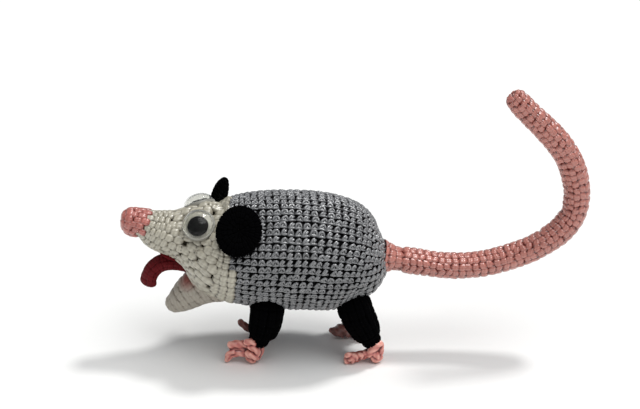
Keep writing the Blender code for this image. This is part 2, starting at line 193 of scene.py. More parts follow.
def add(tree, kind, inputs=None, **settings):
    """One node with its settings, its inputs filled by number or name with values or other sockets."""
    node = tree.nodes.new(kind)
    for name, value in settings.items():
        setattr(node, name, value)
    for name, value in (inputs or {}).items():
        if isinstance(value, bpy.types.NodeSocket):
            tree.links.new(value, node.inputs[name])
        else:
            node.inputs[name].default_value = value
    return node


def sums(tree):
    """A function that adds a sum to the tree and gives its result."""

    def maths(operation, a, b=0.0, c=0.0):
        inputs = {0: a, 1: b, 2: c} if operation == "MULTIPLY_ADD" else {0: a, 1: b}
        return add(tree, "ShaderNodeMath", inputs, operation=operation).outputs[0]

    return maths


def mixed(tree, amount, first, second):
    """Two colours mixed, each an sRGB hex colour or a socket."""
    first, second = (linear(colour) if isinstance(colour, str) else colour for colour in (first, second))
    return add(tree, "ShaderNodeMix", {0: amount, 6: first, 7: second}, data_type="RGBA").outputs[2]


def ranged(tree, value, low, high):
    """The value as 0 at low and 1 at high, and even between them."""
    return add(tree, "ShaderNodeMapRange", {0: value, 1: low, 2: high}).outputs[0]


def scaled(tree, vector, factor):
    """The vector, or the colour, times a factor."""
    inputs = {0: vector, "Scale": factor}
    return add(tree, "ShaderNodeVectorMath", inputs, operation="SCALE").outputs["Vector"]


def attribute(tree, name):
    """What the crochet or the feet keep under this name, as a material reads it."""
    return add(tree, "ShaderNodeAttribute", attribute_name=name).outputs["Fac"]


def noise(tree, place, scale, detail=2.0, output="Fac"):
    """Soft noise about a place, at so many waves a metre."""
    values = {"Vector": place, "Scale": scale, "Detail": detail}
    return add(tree, "ShaderNodeTexNoise", values).outputs[output]


def through(points, per_span=16):
    """A smooth curve through the points, sampled closely."""
    p = np.array(points, dtype=float)
    p = np.vstack([2.0 * p[0] - p[1], p, 2.0 * p[-1] - p[-2]])
    samples = []
    for i in range(1, len(p) - 2):
        slope = p[i + 1] - p[i - 1]
        bend = 2.0 * p[i - 1] - 5.0 * p[i] + 4.0 * p[i + 1] - p[i + 2]
        twist = 3.0 * p[i] - p[i - 1] - 3.0 * p[i + 1] + p[i + 2]
        for t in np.linspace(0.0, 1.0, per_span, endpoint=False):
            samples.append(0.5 * (2.0 * p[i] + slope * t + bend * t**2 + twist * t**3))
    samples.append(p[-2])
    return np.array(samples)


def lengths_along(samples):
    return np.concatenate([[0.0], np.cumsum(np.linalg.norm(np.diff(samples, axis=0), axis=1))])


def evenly(samples, count):
    """The same curve as so many points, evenly spaced."""
    lengths = lengths_along(samples)
    wanted = np.linspace(0.0, lengths[-1], count)
    return np.array([np.interp(wanted, lengths, column) for column in samples.T]).T


def ball_end(last, before, steps=10):
    """Stations of a half ball past the last one."""
    way = last[:3] - before[:3]
    way /= np.linalg.norm(way)
    rows = []
    for k in range(1, steps + 1):
        turn = 0.5 * math.pi * k / (steps + 0.1)
        rows.append((*(last[:3] + way * last[3] * math.sin(turn)), last[3] * math.cos(turn)))
    return np.array(rows)


def profile(points, step, ball_start=False, ball_finish=False):
    """Even stations (x, y, z, radius) of a tube, with the named ends rounded off."""
    rows = through(points)
    if ball_finish:
        rows = np.vstack([rows, ball_end(rows[-1], rows[-2])])
    if ball_start:
        rows = np.vstack([ball_end(rows[0], rows[1])[::-1], rows])
    return evenly(rows, round(lengths_along(rows)[-1] / step) + 1)


def flat_line(points):
    """Points of the middle plane, (x, z, radius), as full stations."""
    return [(x, 0.0, z, radius) for x, z, radius in points]


def rings_of(stations, sides, width=1.0, roll=0.0):
    """Rings of points round a tube's stations. A ring starts on the far side and goes under first."""
    ways = np.gradient(stations[:, :3], axis=0)
    ways /= np.linalg.norm(ways, axis=1)[:, None]
    across = np.array([0.0, 1.0, 0.0]) - ways * ways[:, 1:2]
    across /= np.linalg.norm(across, axis=1)[:, None]
    down = np.cross(across, ways)
    turn = math.radians(roll)
    across, down = (
        across * math.cos(turn) - np.cross(ways, across) * math.sin(turn),
        down * math.cos(turn) - np.cross(ways, down) * math.sin(turn),
    )
    angles = np.linspace(0.0, 2.0 * math.pi, sides, endpoint=False)
    radii = stations[:, 3][:, None, None]
    return (
        stations[:, None, :3]
        + down[:, None] * radii * np.sin(angles)[None, :, None]
        + across[:, None] * radii * width * np.cos(angles)[None, :, None]
    )


def turned_rings(outline, place, normal, sides, width=1.0, spin=0.0):
    """Rings of a turned form: an outline of radius and level about an axis at a place."""
    facing = Vector(normal).normalized().to_track_quat("Z", "Y").to_matrix()
    facing = np.array(facing @ Matrix.Rotation(math.radians(spin), 3, "Z"))
    angles = np.linspace(0.0, 2.0 * math.pi, sides, endpoint=False)
    rings = [
        np.stack([radius * np.cos(angles), radius * width * np.sin(angles), np.full(sides, level)], axis=1)
        for radius, level in outline
    ]
    return np.array(rings) @ facing.T + np.array(place)


def in_scene(name, data):
    made = bpy.data.objects.new(name, data)
    bpy.context.scene.collection.objects.link(made)
    return made


def placed(name, mesh, *materials):
    """A mesh as an object of the scene, shaded smooth."""
    mesh.shade_smooth()
    for material in materials:
        mesh.materials.append(material)
    return in_scene(name, mesh)


def finished(name, bm, *materials):
    """An edited mesh as an object of the scene, with its faces turned outward."""
    bmesh.ops.recalc_face_normals(bm, faces=bm.faces)
    mesh = bpy.data.meshes.new(name)
    bm.to_mesh(mesh)
    bm.free()
    return placed(name, mesh, *materials)


def applied(piece):
    """The piece's new mesh, with its modifiers worked into it."""
    graph = bpy.context.evaluated_depsgraph_get()
    mesh = bpy.data.meshes.new_from_object(piece.evaluated_get(graph))
    piece.modifiers.clear()
    piece.data = mesh
    return mesh


def evened(piece, voxel, rounds, material):
    """The piece grown together into one even surface, and smoothed for so many rounds."""
    remesh = piece.modifiers.new("even", "REMESH")
    remesh.mode = "VOXEL"
    remesh.voxel_size = voxel * MM
    soften = piece.modifiers.new("soften", "SMOOTH")
    soften.iterations = rounds
    mesh = applied(piece)
    mesh.shade_smooth()
    mesh.materials.clear()
    mesh.materials.append(material)


def skin(name, rings):
    """A closed skin over rings of points, with its fabric map: U from ring to ring and V round each."""
    count, sides = rings.shape[:2]
    bm = bmesh.new()
    fabric = bm.loops.layers.uv.new("fabric")
    points = [[bm.verts.new(point) for point in ring] for ring in world(rings)]
    for i in range(count - 1):
        for k in range(sides):
            n = (k + 1) % sides
            face = bm.faces.new((points[i][k], points[i][n], points[i + 1][n], points[i + 1][k]))
            corners = ((i, k), (i, k + 1), (i + 1, k + 1), (i + 1, k))
            for loop, (u, v) in zip(face.loops, corners):
                loop[fabric].uv = (u / (count - 1), v / sides)
    for cap in (points[0][::-1], points[-1]):
        for loop in bm.faces.new(cap).loops:
            loop[fabric].uv = (2.0, 2.0)
    return finished(name, bm)


def strand(path, radii, sides=6, lobes=0, lobe_depth=0.0, lobe_pitch=1.0):
    """A strand of yarn along a path in mm, closed at both ends: points, faces and a map for each corner."""
    path = np.asarray(path, dtype=float)
    radii = np.broadcast_to(radii, len(path))
    ways = np.gradient(path, axis=0)
    ways /= np.linalg.norm(ways, axis=1)[:, None]
    side = np.cross(ways[0], (0.31, 0.21, 0.93))
    lengths = lengths_along(path)
    angles = np.linspace(0.0, 2.0 * math.pi, sides, endpoint=False)
    points, faces, corners = [], [], []
    for place, way, radius, length in zip(path, ways, radii, lengths):
        side = side - way * np.dot(side, way)
        side /= np.linalg.norm(side)
        other = np.cross(way, side)
        swell = 1.0 + lobe_depth * np.cos(lobes * angles - 2.0 * math.pi * length / lobe_pitch)
        for angle, r in zip(angles, radius * swell):
            points.append(place + (side * math.cos(angle) + other * math.sin(angle)) * r)
    for i in range(len(path) - 1):
        for k in range(sides):
            n = (k + 1) % sides
            faces.append((i * sides + k, i * sides + n, (i + 1) * sides + n, (i + 1) * sides + k))
            low, high = lengths[i], lengths[i + 1]
            here, there = k / sides, (k + 1) / sides
            corners += [(low, here), (low, there), (high, there), (high, here)]
    last = (len(path) - 1) * sides
    faces += [tuple(range(sides))[::-1], tuple(range(last, last + sides))]
    corners += [(0.0, k / sides) for k in range(sides)][::-1]
    corners += [(lengths[-1], k / sides) for k in range(sides)]
    return np.array(points), faces, corners


def strands_object(name, strands, scale=(1.0, 1.0, 1.0)):
    """One mesh of several strands, with the map named strand: millimetres along, and once round."""
    points, faces, corners = [], [], []
    for more_points, more_faces, more_corners in strands:
        start = sum(len(p) for p in points)
        points.append(more_points)
        faces += [tuple(start + k for k in face) for face in more_faces]
        corners += more_corners
    mesh = bpy.data.meshes.new(name)
    mesh.from_pydata((np.vstack(points) * scale).tolist(), [], faces)
    layer = mesh.uv_layers.new(name="strand")
    layer.data.foreach_set("uv", np.array(corners, dtype=np.float32).ravel())
    return placed(name, mesh)


def yarn_path(points, count):
    return evenly(through(points), count)


def ends_thinned(count, radius, shares=(0.55,)):
    """Radii that draw in at both ends of a strand, by a share for each of the last points."""
    radii = np.full(count, radius)
    for k, share in enumerate(shares):
        radii[[k, -1 - k]] *= share
    return radii


# The sizes that a stitch is drawn at: along its row, and from row to row.
STITCH_LENGTH = 3.3
STITCH_HEIGHT = 3.0
# Turns a stitch drawn in mm to one unit along and across, and metres deep.
STITCH_SCALE = (1.0 / STITCH_LENGTH, 1.0 / STITCH_HEIGHT, MM)


# The bar at the foot of each stitch of the back, which runs on from stitch to stitch.
FOOT_BAR = [(-1.72, -0.98, -0.70), (-0.60, -1.06, -0.50), (0.60, -1.00, -0.50), (1.72, -0.98, -0.70)]


def back_stitch(name, loop, loop_radius, leg, leg_radius):
    """A stitch of the back: a loop of yarn with a leg beside or under it, over the bar at its foot."""
    strands = [
        strand(yarn_path(loop, 8), ends_thinned(8, loop_radius)),
        strand(yarn_path(leg, 5), ends_thinned(5, leg_radius), sides=5),
        strand(yarn_path(FOOT_BAR, 4), ends_thinned(4, 0.52, (0.9,)), sides=5),
    ]
    return strands_object(name, strands, STITCH_SCALE)


def arch_stitch():
    """The stitch seen full on: an even arch over a slanting leg."""
    loop = [(-1.30, -1.15, -1.0), (-1.22, -0.35, -0.62), (-0.80, 0.50, -0.44), (-0.10, 0.86, -0.40)]
    loop += [(0.62, 0.66, -0.42), (1.10, 0.05, -0.60), (1.26, -1.15, -1.0)]
    leg = [(-0.55, -1.10, -0.85), (-0.10, -0.30, -0.58), (0.30, 0.30, -0.95)]
    return back_stitch("back_stitch_arch", loop, 0.55, leg, 0.47)


def hook_stitch():
    """The stitch pulled over: a long slanting side, and a short one."""
    loop = [(-1.34, -1.10, -1.0), (-0.98, -0.45, -0.50), (-0.36, 0.24, -0.38), (0.34, 0.80, -0.36)]
    loop += [(0.98, 0.72, -0.52), (1.26, 0.00, -0.75), (1.20, -0.70, -1.1)]
    leg = [(-0.30, -1.15, -0.85), (0.22, -0.50, -0.56), (0.62, 0.12, -0.90)]
    return back_stitch("back_stitch_hook", loop, 0.54, leg, 0.48)


def slant_stitch():
    """The stitch drawn tight: its two sides lie one beside the other."""
    loop = [(-1.36, -1.05, -1.05), (-1.05, -0.40, -0.50), (-0.42, 0.42, -0.38), (0.10, 0.92, -0.62)]
    loop += [(0.5, 1.1, -1.1)]
    leg = [(-0.46, -1.10, -0.95), (0.02, -0.40, -0.48), (0.66, 0.36, -0.40), (1.28, 0.70, -0.85)]
    return back_stitch("back_stitch_slant", loop, 0.56, leg, 0.56)


def plump_stitch(name, lines, count, shares, sides):
    """Two plump strands along a row: the line and radius of each, its points and how its ends draw in."""
    strands = []
    for line, radius in lines:
        strands.append(strand(yarn_path(line, count), ends_thinned(count, radius, shares), sides))
    return strands_object(name, strands, STITCH_SCALE)


def block_stitch():
    """A stitch of the legs and ears, with a hole where four of them meet."""
    upper = [(-1.80, 0.34, -1.22), (-0.85, 0.56, -1.10), (0.85, 0.60, -1.10), (1.80, 0.32, -1.22)]
    lower = [(-1.80, -0.32, -1.22), (-0.85, -0.60, -1.12), (0.85, -0.56, -1.12), (1.80, -0.34, -1.22)]
    return plump_stitch("block_stitch", [(upper, 1.14), (lower, 1.12)], 7, (0.62,), 6)


def pillow_stitch():
    """A stitch of the head: two soft strands grown into one pillow, with small holes at its corners."""
    upper = [(-1.90, 0.10, -1.66), (-0.95, 0.42, -1.60), (0.85, 0.50, -1.54), (1.90, 0.16, -1.62)]
    lower = [(-1.90, -0.14, -1.68), (-0.95, -0.50, -1.66), (0.85, -0.42, -1.60), (1.90, -0.10, -1.66)]
    return plump_stitch("pillow_stitch", [(upper, 1.58), (lower, 1.56)], 9, (0.42, 0.76, 0.95), 8)


# Between the stitches a hole's painted shade begins and is full this far from a stitch's middle, in stitches.
HOLE_ALONG = (0.35, 0.48)
HOLE_ACROSS = (0.16, 0.32)
# A stitch isn't laid nearer than this to either end of a skin's map.
MAP_MARGIN = 0.0005
# How soon the wandering of the rows changes, and how far apart the strands' patches lie in the bake.
WANDER_SCALE = 110.0
BAKE_STEP = (0.0004, 0.003, 0.0)

CROCHET_INPUTS = {
    "Skin": "NodeSocketObject",
    "Stitch": "NodeSocketCollection",
    "Yarn": "NodeSocketMaterial",
    "Rows": "NodeSocketInt",
    "Per Row": "NodeSocketInt",
    "Start": "NodeSocketFloat",
    "End": "NodeSocketFloat",
    "Turn": "NodeSocketFloat",
    "Stagger": "NodeSocketFloat",
    "Relief": "NodeSocketFloat",
    "Lift": "NodeSocketFloat",
    "Unevenness": "NodeSocketFloat",
    "Tilt": "NodeSocketFloat",
    "Wander": "NodeSocketFloat",
    "Seam Point": "NodeSocketVector",
    "Seam Way": "NodeSocketVector",
    "Seam Jag": "NodeSocketFloat",
    "Seed": "NodeSocketInt",
}


def crochet_tree():
    """Rows of stitches laid on a skin's fabric map, then lifted on to the skin itself."""
    tree = bpy.data.node_groups.new("crochet", "GeometryNodeTree")
    for name, kind in CROCHET_INPUTS.items():
        tree.interface.new_socket(name, in_out="INPUT", socket_type=kind)
    tree.interface.new_socket("Geometry", in_out="OUTPUT", socket_type="NodeSocketGeometry")
    given = tree.nodes.new("NodeGroupInput").outputs
    result = tree.nodes.new("NodeGroupOutput")

    maths = sums(tree)

    def vectors(operation, a, b):
        node = add(tree, "ShaderNodeVectorMath", {0: a, 1: b}, operation=operation)
        return node.outputs["Value" if operation == "DOT_PRODUCT" else "Vector"]

    def keep(geometry, name, value, kind="FLOAT", domain="POINT"):
        """The geometry with a value stored on it by name."""
        inputs = {"Geometry": geometry, "Name": name, "Value": value}
        return add(tree, "GeometryNodeStoreNamedAttribute", inputs, data_type=kind, domain=domain).outputs[0]

    def named(name, kind="FLOAT_VECTOR"):
        return add(tree, "GeometryNodeInputNamedAttribute", {"Name": name}, data_type=kind).outputs[0]

    def drawn(low, high, **inputs):
        values = {2: low, 3: high, **inputs}
        return add(tree, "FunctionNodeRandomValue", values, data_type="FLOAT").outputs[1]

    def chance(low, high, step):
        """A number drawn for each stitch, from a seed of its own."""
        return drawn(low, high, Seed=maths("ADD", given["Seed"], step))

    def joined(x=0.0, y=0.0, z=0.0):
        return add(tree, "ShaderNodeCombineXYZ", {"X": x, "Y": y, "Z": z}).outputs[0]

    count = maths("MULTIPLY", given["Rows"], given["Per Row"])
    index = add(tree, "GeometryNodeInputIndex").outputs[0]
    row = maths("FLOOR", maths("DIVIDE", maths("ADD", index, 0.5), given["Per Row"]))
    column = maths("SUBTRACT", index, maths("MULTIPLY", row, given["Per Row"]))
    span = maths("SUBTRACT", given["End"], given["Start"])
    stitch_u = maths("DIVIDE", span, given["Per Row"])
    stitch_v = maths("DIVIDE", 1.0, given["Rows"])
    extent = joined(stitch_u, stitch_v, 1.0)

    uneven = given["Unevenness"]
    odd = maths("SUBTRACT", maths("MODULO", row, 2.0), 0.5)
    shift_u = maths("MULTIPLY_ADD", odd, given["Stagger"], maths("MULTIPLY", chance(-0.5, 0.5, 1), uneven))
    shift_v = maths("MULTIPLY", chance(-0.35, 0.35, 2), uneven)
    u = maths("MULTIPLY_ADD", maths("ADD", maths("ADD", column, 0.5), shift_u), stitch_u, given["Start"])
    v = maths("ADD", maths("ADD", row, 0.5), shift_v)
    v = maths("FRACT", maths("MULTIPLY_ADD", v, stitch_v, given["Turn"]))
    root = joined(u, v)
    cell_u = maths("MULTIPLY_ADD", maths("ADD", column, 0.5), stitch_u, given["Start"])
    cell_v = maths("FRACT", maths("MULTIPLY_ADD", maths("ADD", row, 0.5), stitch_v, given["Turn"]))
    cell = joined(cell_u, cell_v)

    points = add(tree, "GeometryNodePoints", {"Count": count, "Position": root}).outputs[0]
    stored = keep(points, "root", root, "FLOAT_VECTOR")
    stored = keep(stored, "cell", cell, "FLOAT_VECTOR")
    stored = keep(stored, "tone", chance(0.0, 1.0, 3))

    jag = drawn(-1.0, 1.0, ID=row, Seed=5)
    stored = keep(stored, "jag", maths("MULTIPLY", jag, given["Seam Jag"]))

    kinds = {"Collection": given["Stitch"], "Separate Children": True, "Reset Children": True}
    shape = add(tree, "GeometryNodeCollectionInfo", kinds).outputs[0]
    kind_seed = maths("ADD", given["Seed"], 6)
    kind = add(tree, "FunctionNodeRandomValue", {4: 0, 5: 5, "Seed": kind_seed}, data_type="INT").outputs[2]
    turned = joined(z=maths("MULTIPLY", chance(-1.0, 1.0, 7), given["Tilt"]))
    swell = maths("MULTIPLY_ADD", chance(-0.5, 0.5, 4), uneven, 1.0)
    rise = maths("MULTIPLY", given["Relief"], maths("MULTIPLY_ADD", chance(-0.7, 0.7, 5), uneven, 1.0))
    scale = joined(maths("MULTIPLY", stitch_u, swell), stitch_v, rise)
    picked = {"Points": stored, "Instance": shape, "Pick Instance": True, "Instance Index": kind}
    stood = {**picked, "Rotation": turned, "Scale": scale}
    laid = add(tree, "GeometryNodeInstanceOnPoints", stood).outputs[0]
    laid = add(tree, "GeometryNodeRealizeInstances", {"Geometry": laid}).outputs[0]

    place = add(tree, "GeometryNodeInputPosition").outputs[0]
    parts = add(tree, "ShaderNodeSeparateXYZ", {0: place}).outputs
    # The height of each point in its stitch, which the yarn's painted shade reads.
    laid = keep(laid, "depth", maths("DIVIDE", parts["Z"], MM))

    # How near each point lies to a corner of its stitch, for the painted shade of the holes.
    root_named = named("root")
    from_root = vectors("DIVIDE", vectors("SUBTRACT", place, root_named), extent)
    from_root = add(tree, "ShaderNodeSeparateXYZ", {0: vectors("ABSOLUTE", from_root, from_root)}).outputs
    at_end = ranged(tree, from_root["X"], *HOLE_ALONG)
    at_side = ranged(tree, from_root["Y"], *HOLE_ACROSS)
    laid = keep(laid, "hole", maths("MULTIPLY", at_end, at_side))

    skin_mesh = add(tree, "GeometryNodeObjectInfo", {"Object": given["Skin"]}).outputs["Geometry"]
    fabric = named("fabric")
    along = maths("MINIMUM", maths("MAXIMUM", parts["X"], MAP_MARGIN), 1.0 - MAP_MARGIN)
    wrapped = joined(along, maths("FRACT", parts["Y"]))

    def on_skin(value, at):
        inputs = {"Mesh": skin_mesh, "Value": value, "UV Map": fabric, "Sample UV": at}
        return add(tree, "GeometryNodeSampleUVSurface", inputs, data_type="FLOAT_VECTOR").outputs[0]

    normal = add(tree, "GeometryNodeInputNormal").outputs[0]
    from_seam = vectors("SUBTRACT", on_skin(place, named("cell")), given["Seam Point"])
    inside = maths("ADD", vectors("DOT_PRODUCT", from_seam, given["Seam Way"]), named("jag", "FLOAT"))
    past = maths("LESS_THAN", inside, -1e-9)

    on_surface = on_skin(place, wrapped)
    height = maths("ADD", parts["Z"], given["Lift"])
    lifted = scaled(tree, on_skin(normal, wrapped), height)
    drift = noise(tree, on_surface, WANDER_SCALE, 1.0, output="Color")
    waver = scaled(tree, vectors("SUBTRACT", drift, (0.5, 0.5, 0.5)), given["Wander"])
    target = vectors("ADD", vectors("ADD", on_surface, lifted), waver)
    laid = add(tree, "GeometryNodeDeleteGeometry", {"Geometry": laid, "Selection": past}).outputs[0]
    laid = add(tree, "GeometryNodeSetPosition", {"Geometry": laid, "Position": target}).outputs[0]

    apart = {0: named("strand"), 1: BAKE_STEP, 2: root_named}
    patch = add(tree, "ShaderNodeVectorMath", apart, operation="MULTIPLY_ADD").outputs["Vector"]
    laid = keep(laid, "OFBake", patch, "FLOAT2", "CORNER")
    laid = add(tree, "GeometryNodeSetShadeSmooth", {"Geometry": laid}).outputs[0]
    laid = add(tree, "GeometryNodeSetMaterial", {"Geometry": laid, "Material": given["Yarn"]}).outputs[0]
    tree.links.new(laid, result.inputs["Geometry"])
    return tree


CROCHET = crochet_tree()


def worked(name, base, stitch, yarn, bands, seam=None, **common):
    """One piece of crochet: bands of rows on a skin, joined into one plain mesh."""
    made = []
    for own in bands:
        values = {
            "Skin": base,
            "Stitch": stitch,
            "Yarn": yarn,
            "Turn": 0.0,
            "Stagger": 0.0,
            "Relief": 1.0,
            "Lift": 0.0,
            "Unevenness": 0.16,
            "Tilt": 0.0,
            "Wander": 0.0006,
            "Seam Point": (0.0, 0.0, 0.0),
            "Seam Way": (0.0, 0.0, 0.0),
            "Seam Jag": 0.0,
            **common,
            **own,
        }
        if seam:
            values["Seam Point"], values["Seam Way"], side = seam
            values["Seam Jag"] *= side
        holder = in_scene(name, bpy.data.meshes.new(name))
        modifier = holder.modifiers.new("crochet", "NODES")
        modifier.node_group = CROCHET
        for socket in CROCHET.interface.items_tree:
            if socket.in_out == "INPUT":
                modifier[socket.identifier] = values[socket.name]
        applied(holder)
        made.append(holder)
    if len(made) > 1:
        with bpy.context.temp_override(active_object=made[0], selected_editable_objects=made):
            bpy.ops.object.join()
    piece = made[0]
    piece.name = piece.data.name = name
    return piece


def band(rows, per_row, start, end, seed, **more):
    """Rows of stitches on one stretch of a skin, which starts and ends at these shares of its length."""
    return {"Rows": rows, "Per Row": per_row, "Start": start, "End": end, "Seed": seed, **more}


def seam_plane(seam, keep):
    """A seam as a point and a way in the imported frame, keeping its nose side (-1) or tail side (+1)."""
    x, z, lean = seam
    way = Vector((math.cos(math.radians(lean)), 0.0, -math.sin(math.radians(lean)))) * keep
    return tuple(world((x, 0.0, z))), tuple(way), keep


def stuffing(base, name, colour, depth=STUFFING_DEPTH, seams=()):
    """The skin's own form drawn in under the stitches, cut at its seams, in the yarn's colour darkened as
    painted shade.
    """
    bm = bmesh.new()
    bm.from_mesh(base.data)
    bm.normal_update()
    inward = [(vert, vert.normal.copy()) for vert in bm.verts]
    for vert, normal in inward:
        vert.co -= normal * depth * MM
    for point, way, _ in seams:
        geometry = bm.verts[:] + bm.edges[:] + bm.faces[:]
        cut = bmesh.ops.bisect_plane(bm, geom=geometry, plane_co=point, plane_no=way, clear_inner=True)
        rim = [edge for edge in cut["geom_cut"] if isinstance(edge, bmesh.types.BMEdge)]
        bmesh.ops.edgeloop_fill(bm, edges=rim)
    return finished(name, bm, colour)


def shaded(name, values):
    """A new material with these values on its shader: the material, its nodes and the shader."""
    material = bpy.data.materials.new(name)
    material.use_nodes = True
    shader = material.node_tree.nodes["Principled BSDF"]
    for socket, value in values.items():
        shader.inputs[socket].default_value = value
    return material, material.node_tree, shader


def bumped(tree, shader, height, strength, rise):
    """Fine relief on the shader, as a height, its strength and how far it rises in mm."""
    bump = add(tree, "ShaderNodeBump", {"Height": height, "Strength": strength, "Distance": rise * MM})
    tree.links.new(bump.outputs[0], shader.inputs["Normal"])


def yarn(name, colour, shade, gloss, ply_depth, shine=0.5, deepest=1.3, variation=0.14, coat=0.0,
         holes=None, glow=None):
    """Plied yarn: lighter on the crests of its plies and stitches, and darker down between them, which is
    painted shade. Holes are the colour of painted shade down in the corners of the stitches, and its share;
    a glow is a colour that shows through about a place, as its reach in mm."""
    material, tree, shader = shaded(name, {
        "Roughness": gloss, "Specular IOR Level": shine,
        "Coat Weight": coat, "Coat Roughness": 0.25,
    })

    strand_map = add(tree, "ShaderNodeUVMap", uv_map="strand").outputs[0]
    parts = add(tree, "ShaderNodeSeparateXYZ", {0: strand_map}).outputs

    maths = sums(tree)
    along = maths("MULTIPLY", parts["X"], 2.0 * math.pi / PLY_PITCH)
    wave = maths("SINE", maths("MULTIPLY_ADD", parts["Y"], 2.0 * math.pi * PLIES, along))
    crest = maths("MULTIPLY_ADD", wave, 0.5, 0.5)

    place = add(tree, "ShaderNodeTexCoord").outputs["Object"]
    fibres = noise(tree, place, 1800.0)
    patches = noise(tree, place, 90.0, 1.0)
    depth = attribute(tree, "depth")
    tone = attribute(tree, "tone")

    # Painted shade: nearer the shade colour the deeper a point lies, and in the grooves between the plies.
    lit = ranged(tree, depth, -deepest, -0.15)
    amount = maths("MULTIPLY", lit, maths("MULTIPLY_ADD", crest, 0.3, 0.7))
    body = mixed(tree, amount, shade, colour)
    if glow:
        tint, middle, reach = glow
        away = add(tree, "ShaderNodeVectorMath", {0: place, 1: tuple(world(middle))}, operation="DISTANCE")
        near = ranged(tree, away.outputs["Value"], reach * MM, 0.3 * reach * MM)
        body = mixed(tree, near, body, tint)
    # Painted shade down in the holes where the corners of the stitches meet.
    if holes:
        dark, share = holes
        body = mixed(tree, maths("MULTIPLY", attribute(tree, "hole"), share), body, dark)
    vary = maths("MULTIPLY_ADD", tone, variation, 0.93 - 0.5 * variation)
    vary = maths("MULTIPLY_ADD", patches, 0.14, vary)
    body = scaled(tree, body, vary)
    tree.links.new(body, shader.inputs["Base Color"])

    height = maths("MULTIPLY_ADD", fibres, 0.25, crest)
    bumped(tree, shader, height, ply_depth, 0.15)
    return material


# Two plies to a strand, which come round once in this many millimetres.
PLIES = 2
PLY_PITCH = 1.5

# Each yarn as its colour, the colour of painted shade down between its strands, its roughness and how deep
# its plies are.
# Mercerised cotton: smooth enough to sparkle on every crest, and black painted shade between the strands.
GREY_YARN = yarn("mercerised cotton, grey", "#7b7c7e", "#050506", 0.22, 0.6, shine=1.0, deepest=0.95,
                 variation=0.3, coat=1.0)
# Plied cotton, softer: a satin light on each plump stitch, a little painted shade in its creases, and dark
# painted shade in the holes at its corners.
CREAM_YARN = yarn("plied cotton, cream", "#bbb6a5", "#857c68", 0.30, 0.3, shine=0.8, deepest=1.4, coat=0.4,
                  holes=("#2a241b", 1.0))
# The same cotton where it is handled less and lies flat: matt, darker all over with painted half shade,
# and painted shade in its creases and holes, with the mouth's red glowing through at its root.
JAW_YARN = yarn("plied cotton, cream, in the jaw, in painted half shade", "#aba498", "#8c8374", 0.5, 0.2, shine=0.3, deepest=2.0,
                variation=0.06, holes=("#4a4237", 0.6), glow=("#93584f", (-49.0, -3.5, 34.0), 6.5))
# Plied cotton in salmon pink: small bright points along the crests, warm red painted shade in the gaps, and
# darker painted shade in its holes.
PINK_YARN = yarn("plied cotton, salmon pink", "#c47b6d", "#96504a", 0.28, 0.5, shine=0.8, deepest=1.5,
                 coat=0.6, holes=("#481412", 1.0))
# The nose's own, a little redder, with deep red painted shade in its creases and holes.
NOSE_YARN = yarn("plied cotton, salmon pink, in the nose", "#bd7065", "#74241f", 0.30, 0.4, shine=0.7,
                 deepest=1.5, coat=0.5, holes=("#5c1412", 0.9))
# Brushed black cotton: takes nearly all light, so that only the outline tells its form.
BLACK_YARN = yarn("brushed cotton, black", "#030304", "#010101", 0.9, 0.2, shine=0.02)
# Felted dark red cotton: deep and even, with only a hint of its rows, and a little painted shade between its
# strands.
RED_YARN = yarn("felted cotton, dark red", "#660f15", "#45090e", 0.7, 0.3, shine=0.2, deepest=2.0)


def matt_cotton(name, colour, dark_share, weave_scale=700.0):
    """Cotton without drawn strands: stuffing coloured as painted shade, and felted pads."""
    material, tree, shader = shaded(name, {"Roughness": 0.95, "Specular IOR Level": 0.1})
    place = add(tree, "ShaderNodeTexCoord").outputs["Object"]
    weave = noise(tree, place, weave_scale)
    dark = [dark_share * c for c in linear(colour)[:3]] + [1.0]
    tint = mixed(tree, weave, dark, colour)
    tree.links.new(tint, shader.inputs["Base Color"])
    bumped(tree, shader, weave, 0.6, 0.2)
    return material


# The stuffed forms under the stitches, seen only through the holes between them: dead matt, and dark as
# painted shade.
GREY_SHADE = matt_cotton("grey cotton in shade", "#050506", 0.5)
CREAM_SHADE = matt_cotton("cream cotton in shade", "#3b352b", 0.6)
JAW_SHADE = matt_cotton("cream cotton in half shade", "#857c6d", 0.6)
PINK_SHADE = matt_cotton("pink cotton in shade", "#6a2b25", 0.5)
BLACK_SHADE = matt_cotton("black cotton in shade", "#030303", 0.5)
RED_SHADE = matt_cotton("red cotton in shade", "#4a0c12", 0.5)
# The pads of the mouth: pressed felt, a dark red that swallows its own creases.
RED_FELT = matt_cotton("felted red cotton", "#620e14", 0.6, 500.0)


def satin_yarn(name, colour, fold_shade_colour, crest):
    """Soft glossy yarn pressed into folds: painted shade, dark red, in its hollows, and painted highlight,
    paler, along its crests.
    """
    material, tree, shader = shaded(name, {"Roughness": 0.22, "Specular IOR Level": 0.8})
    place = add(tree, "ShaderNodeTexCoord").outputs["Object"]
    hollow = attribute(tree, "hollow")
    patches = noise(tree, place, 300.0)
    fibres = noise(tree, place, 1500.0)
    maths = sums(tree)
    # Painted shade in the hollows and painted highlight on the crests, broken up by patches.
    deep = maths("ADD", hollow, maths("MULTIPLY_ADD", patches, 1.6, -0.8))
    fold_shade_share = ranged(tree, deep, -0.05, 0.65)
    crest_highlight_share = ranged(tree, deep, -0.2, -0.9)
    body = mixed(tree, fold_shade_share, colour, fold_shade_colour)
    body = mixed(tree, crest_highlight_share, body, crest)
    tree.links.new(body, shader.inputs["Base Color"])
    bumped(tree, shader, fibres, 0.5, 0.25)
    return material


# Satin roving, squeezed into the feet: wet-looking lights and painted highlights on its rolls, and blood red
# painted shade in its folds.
FOOT_YARN = satin_yarn("satin roving, pink", "#cb736a", "#5e1816", "#eeaa9a")
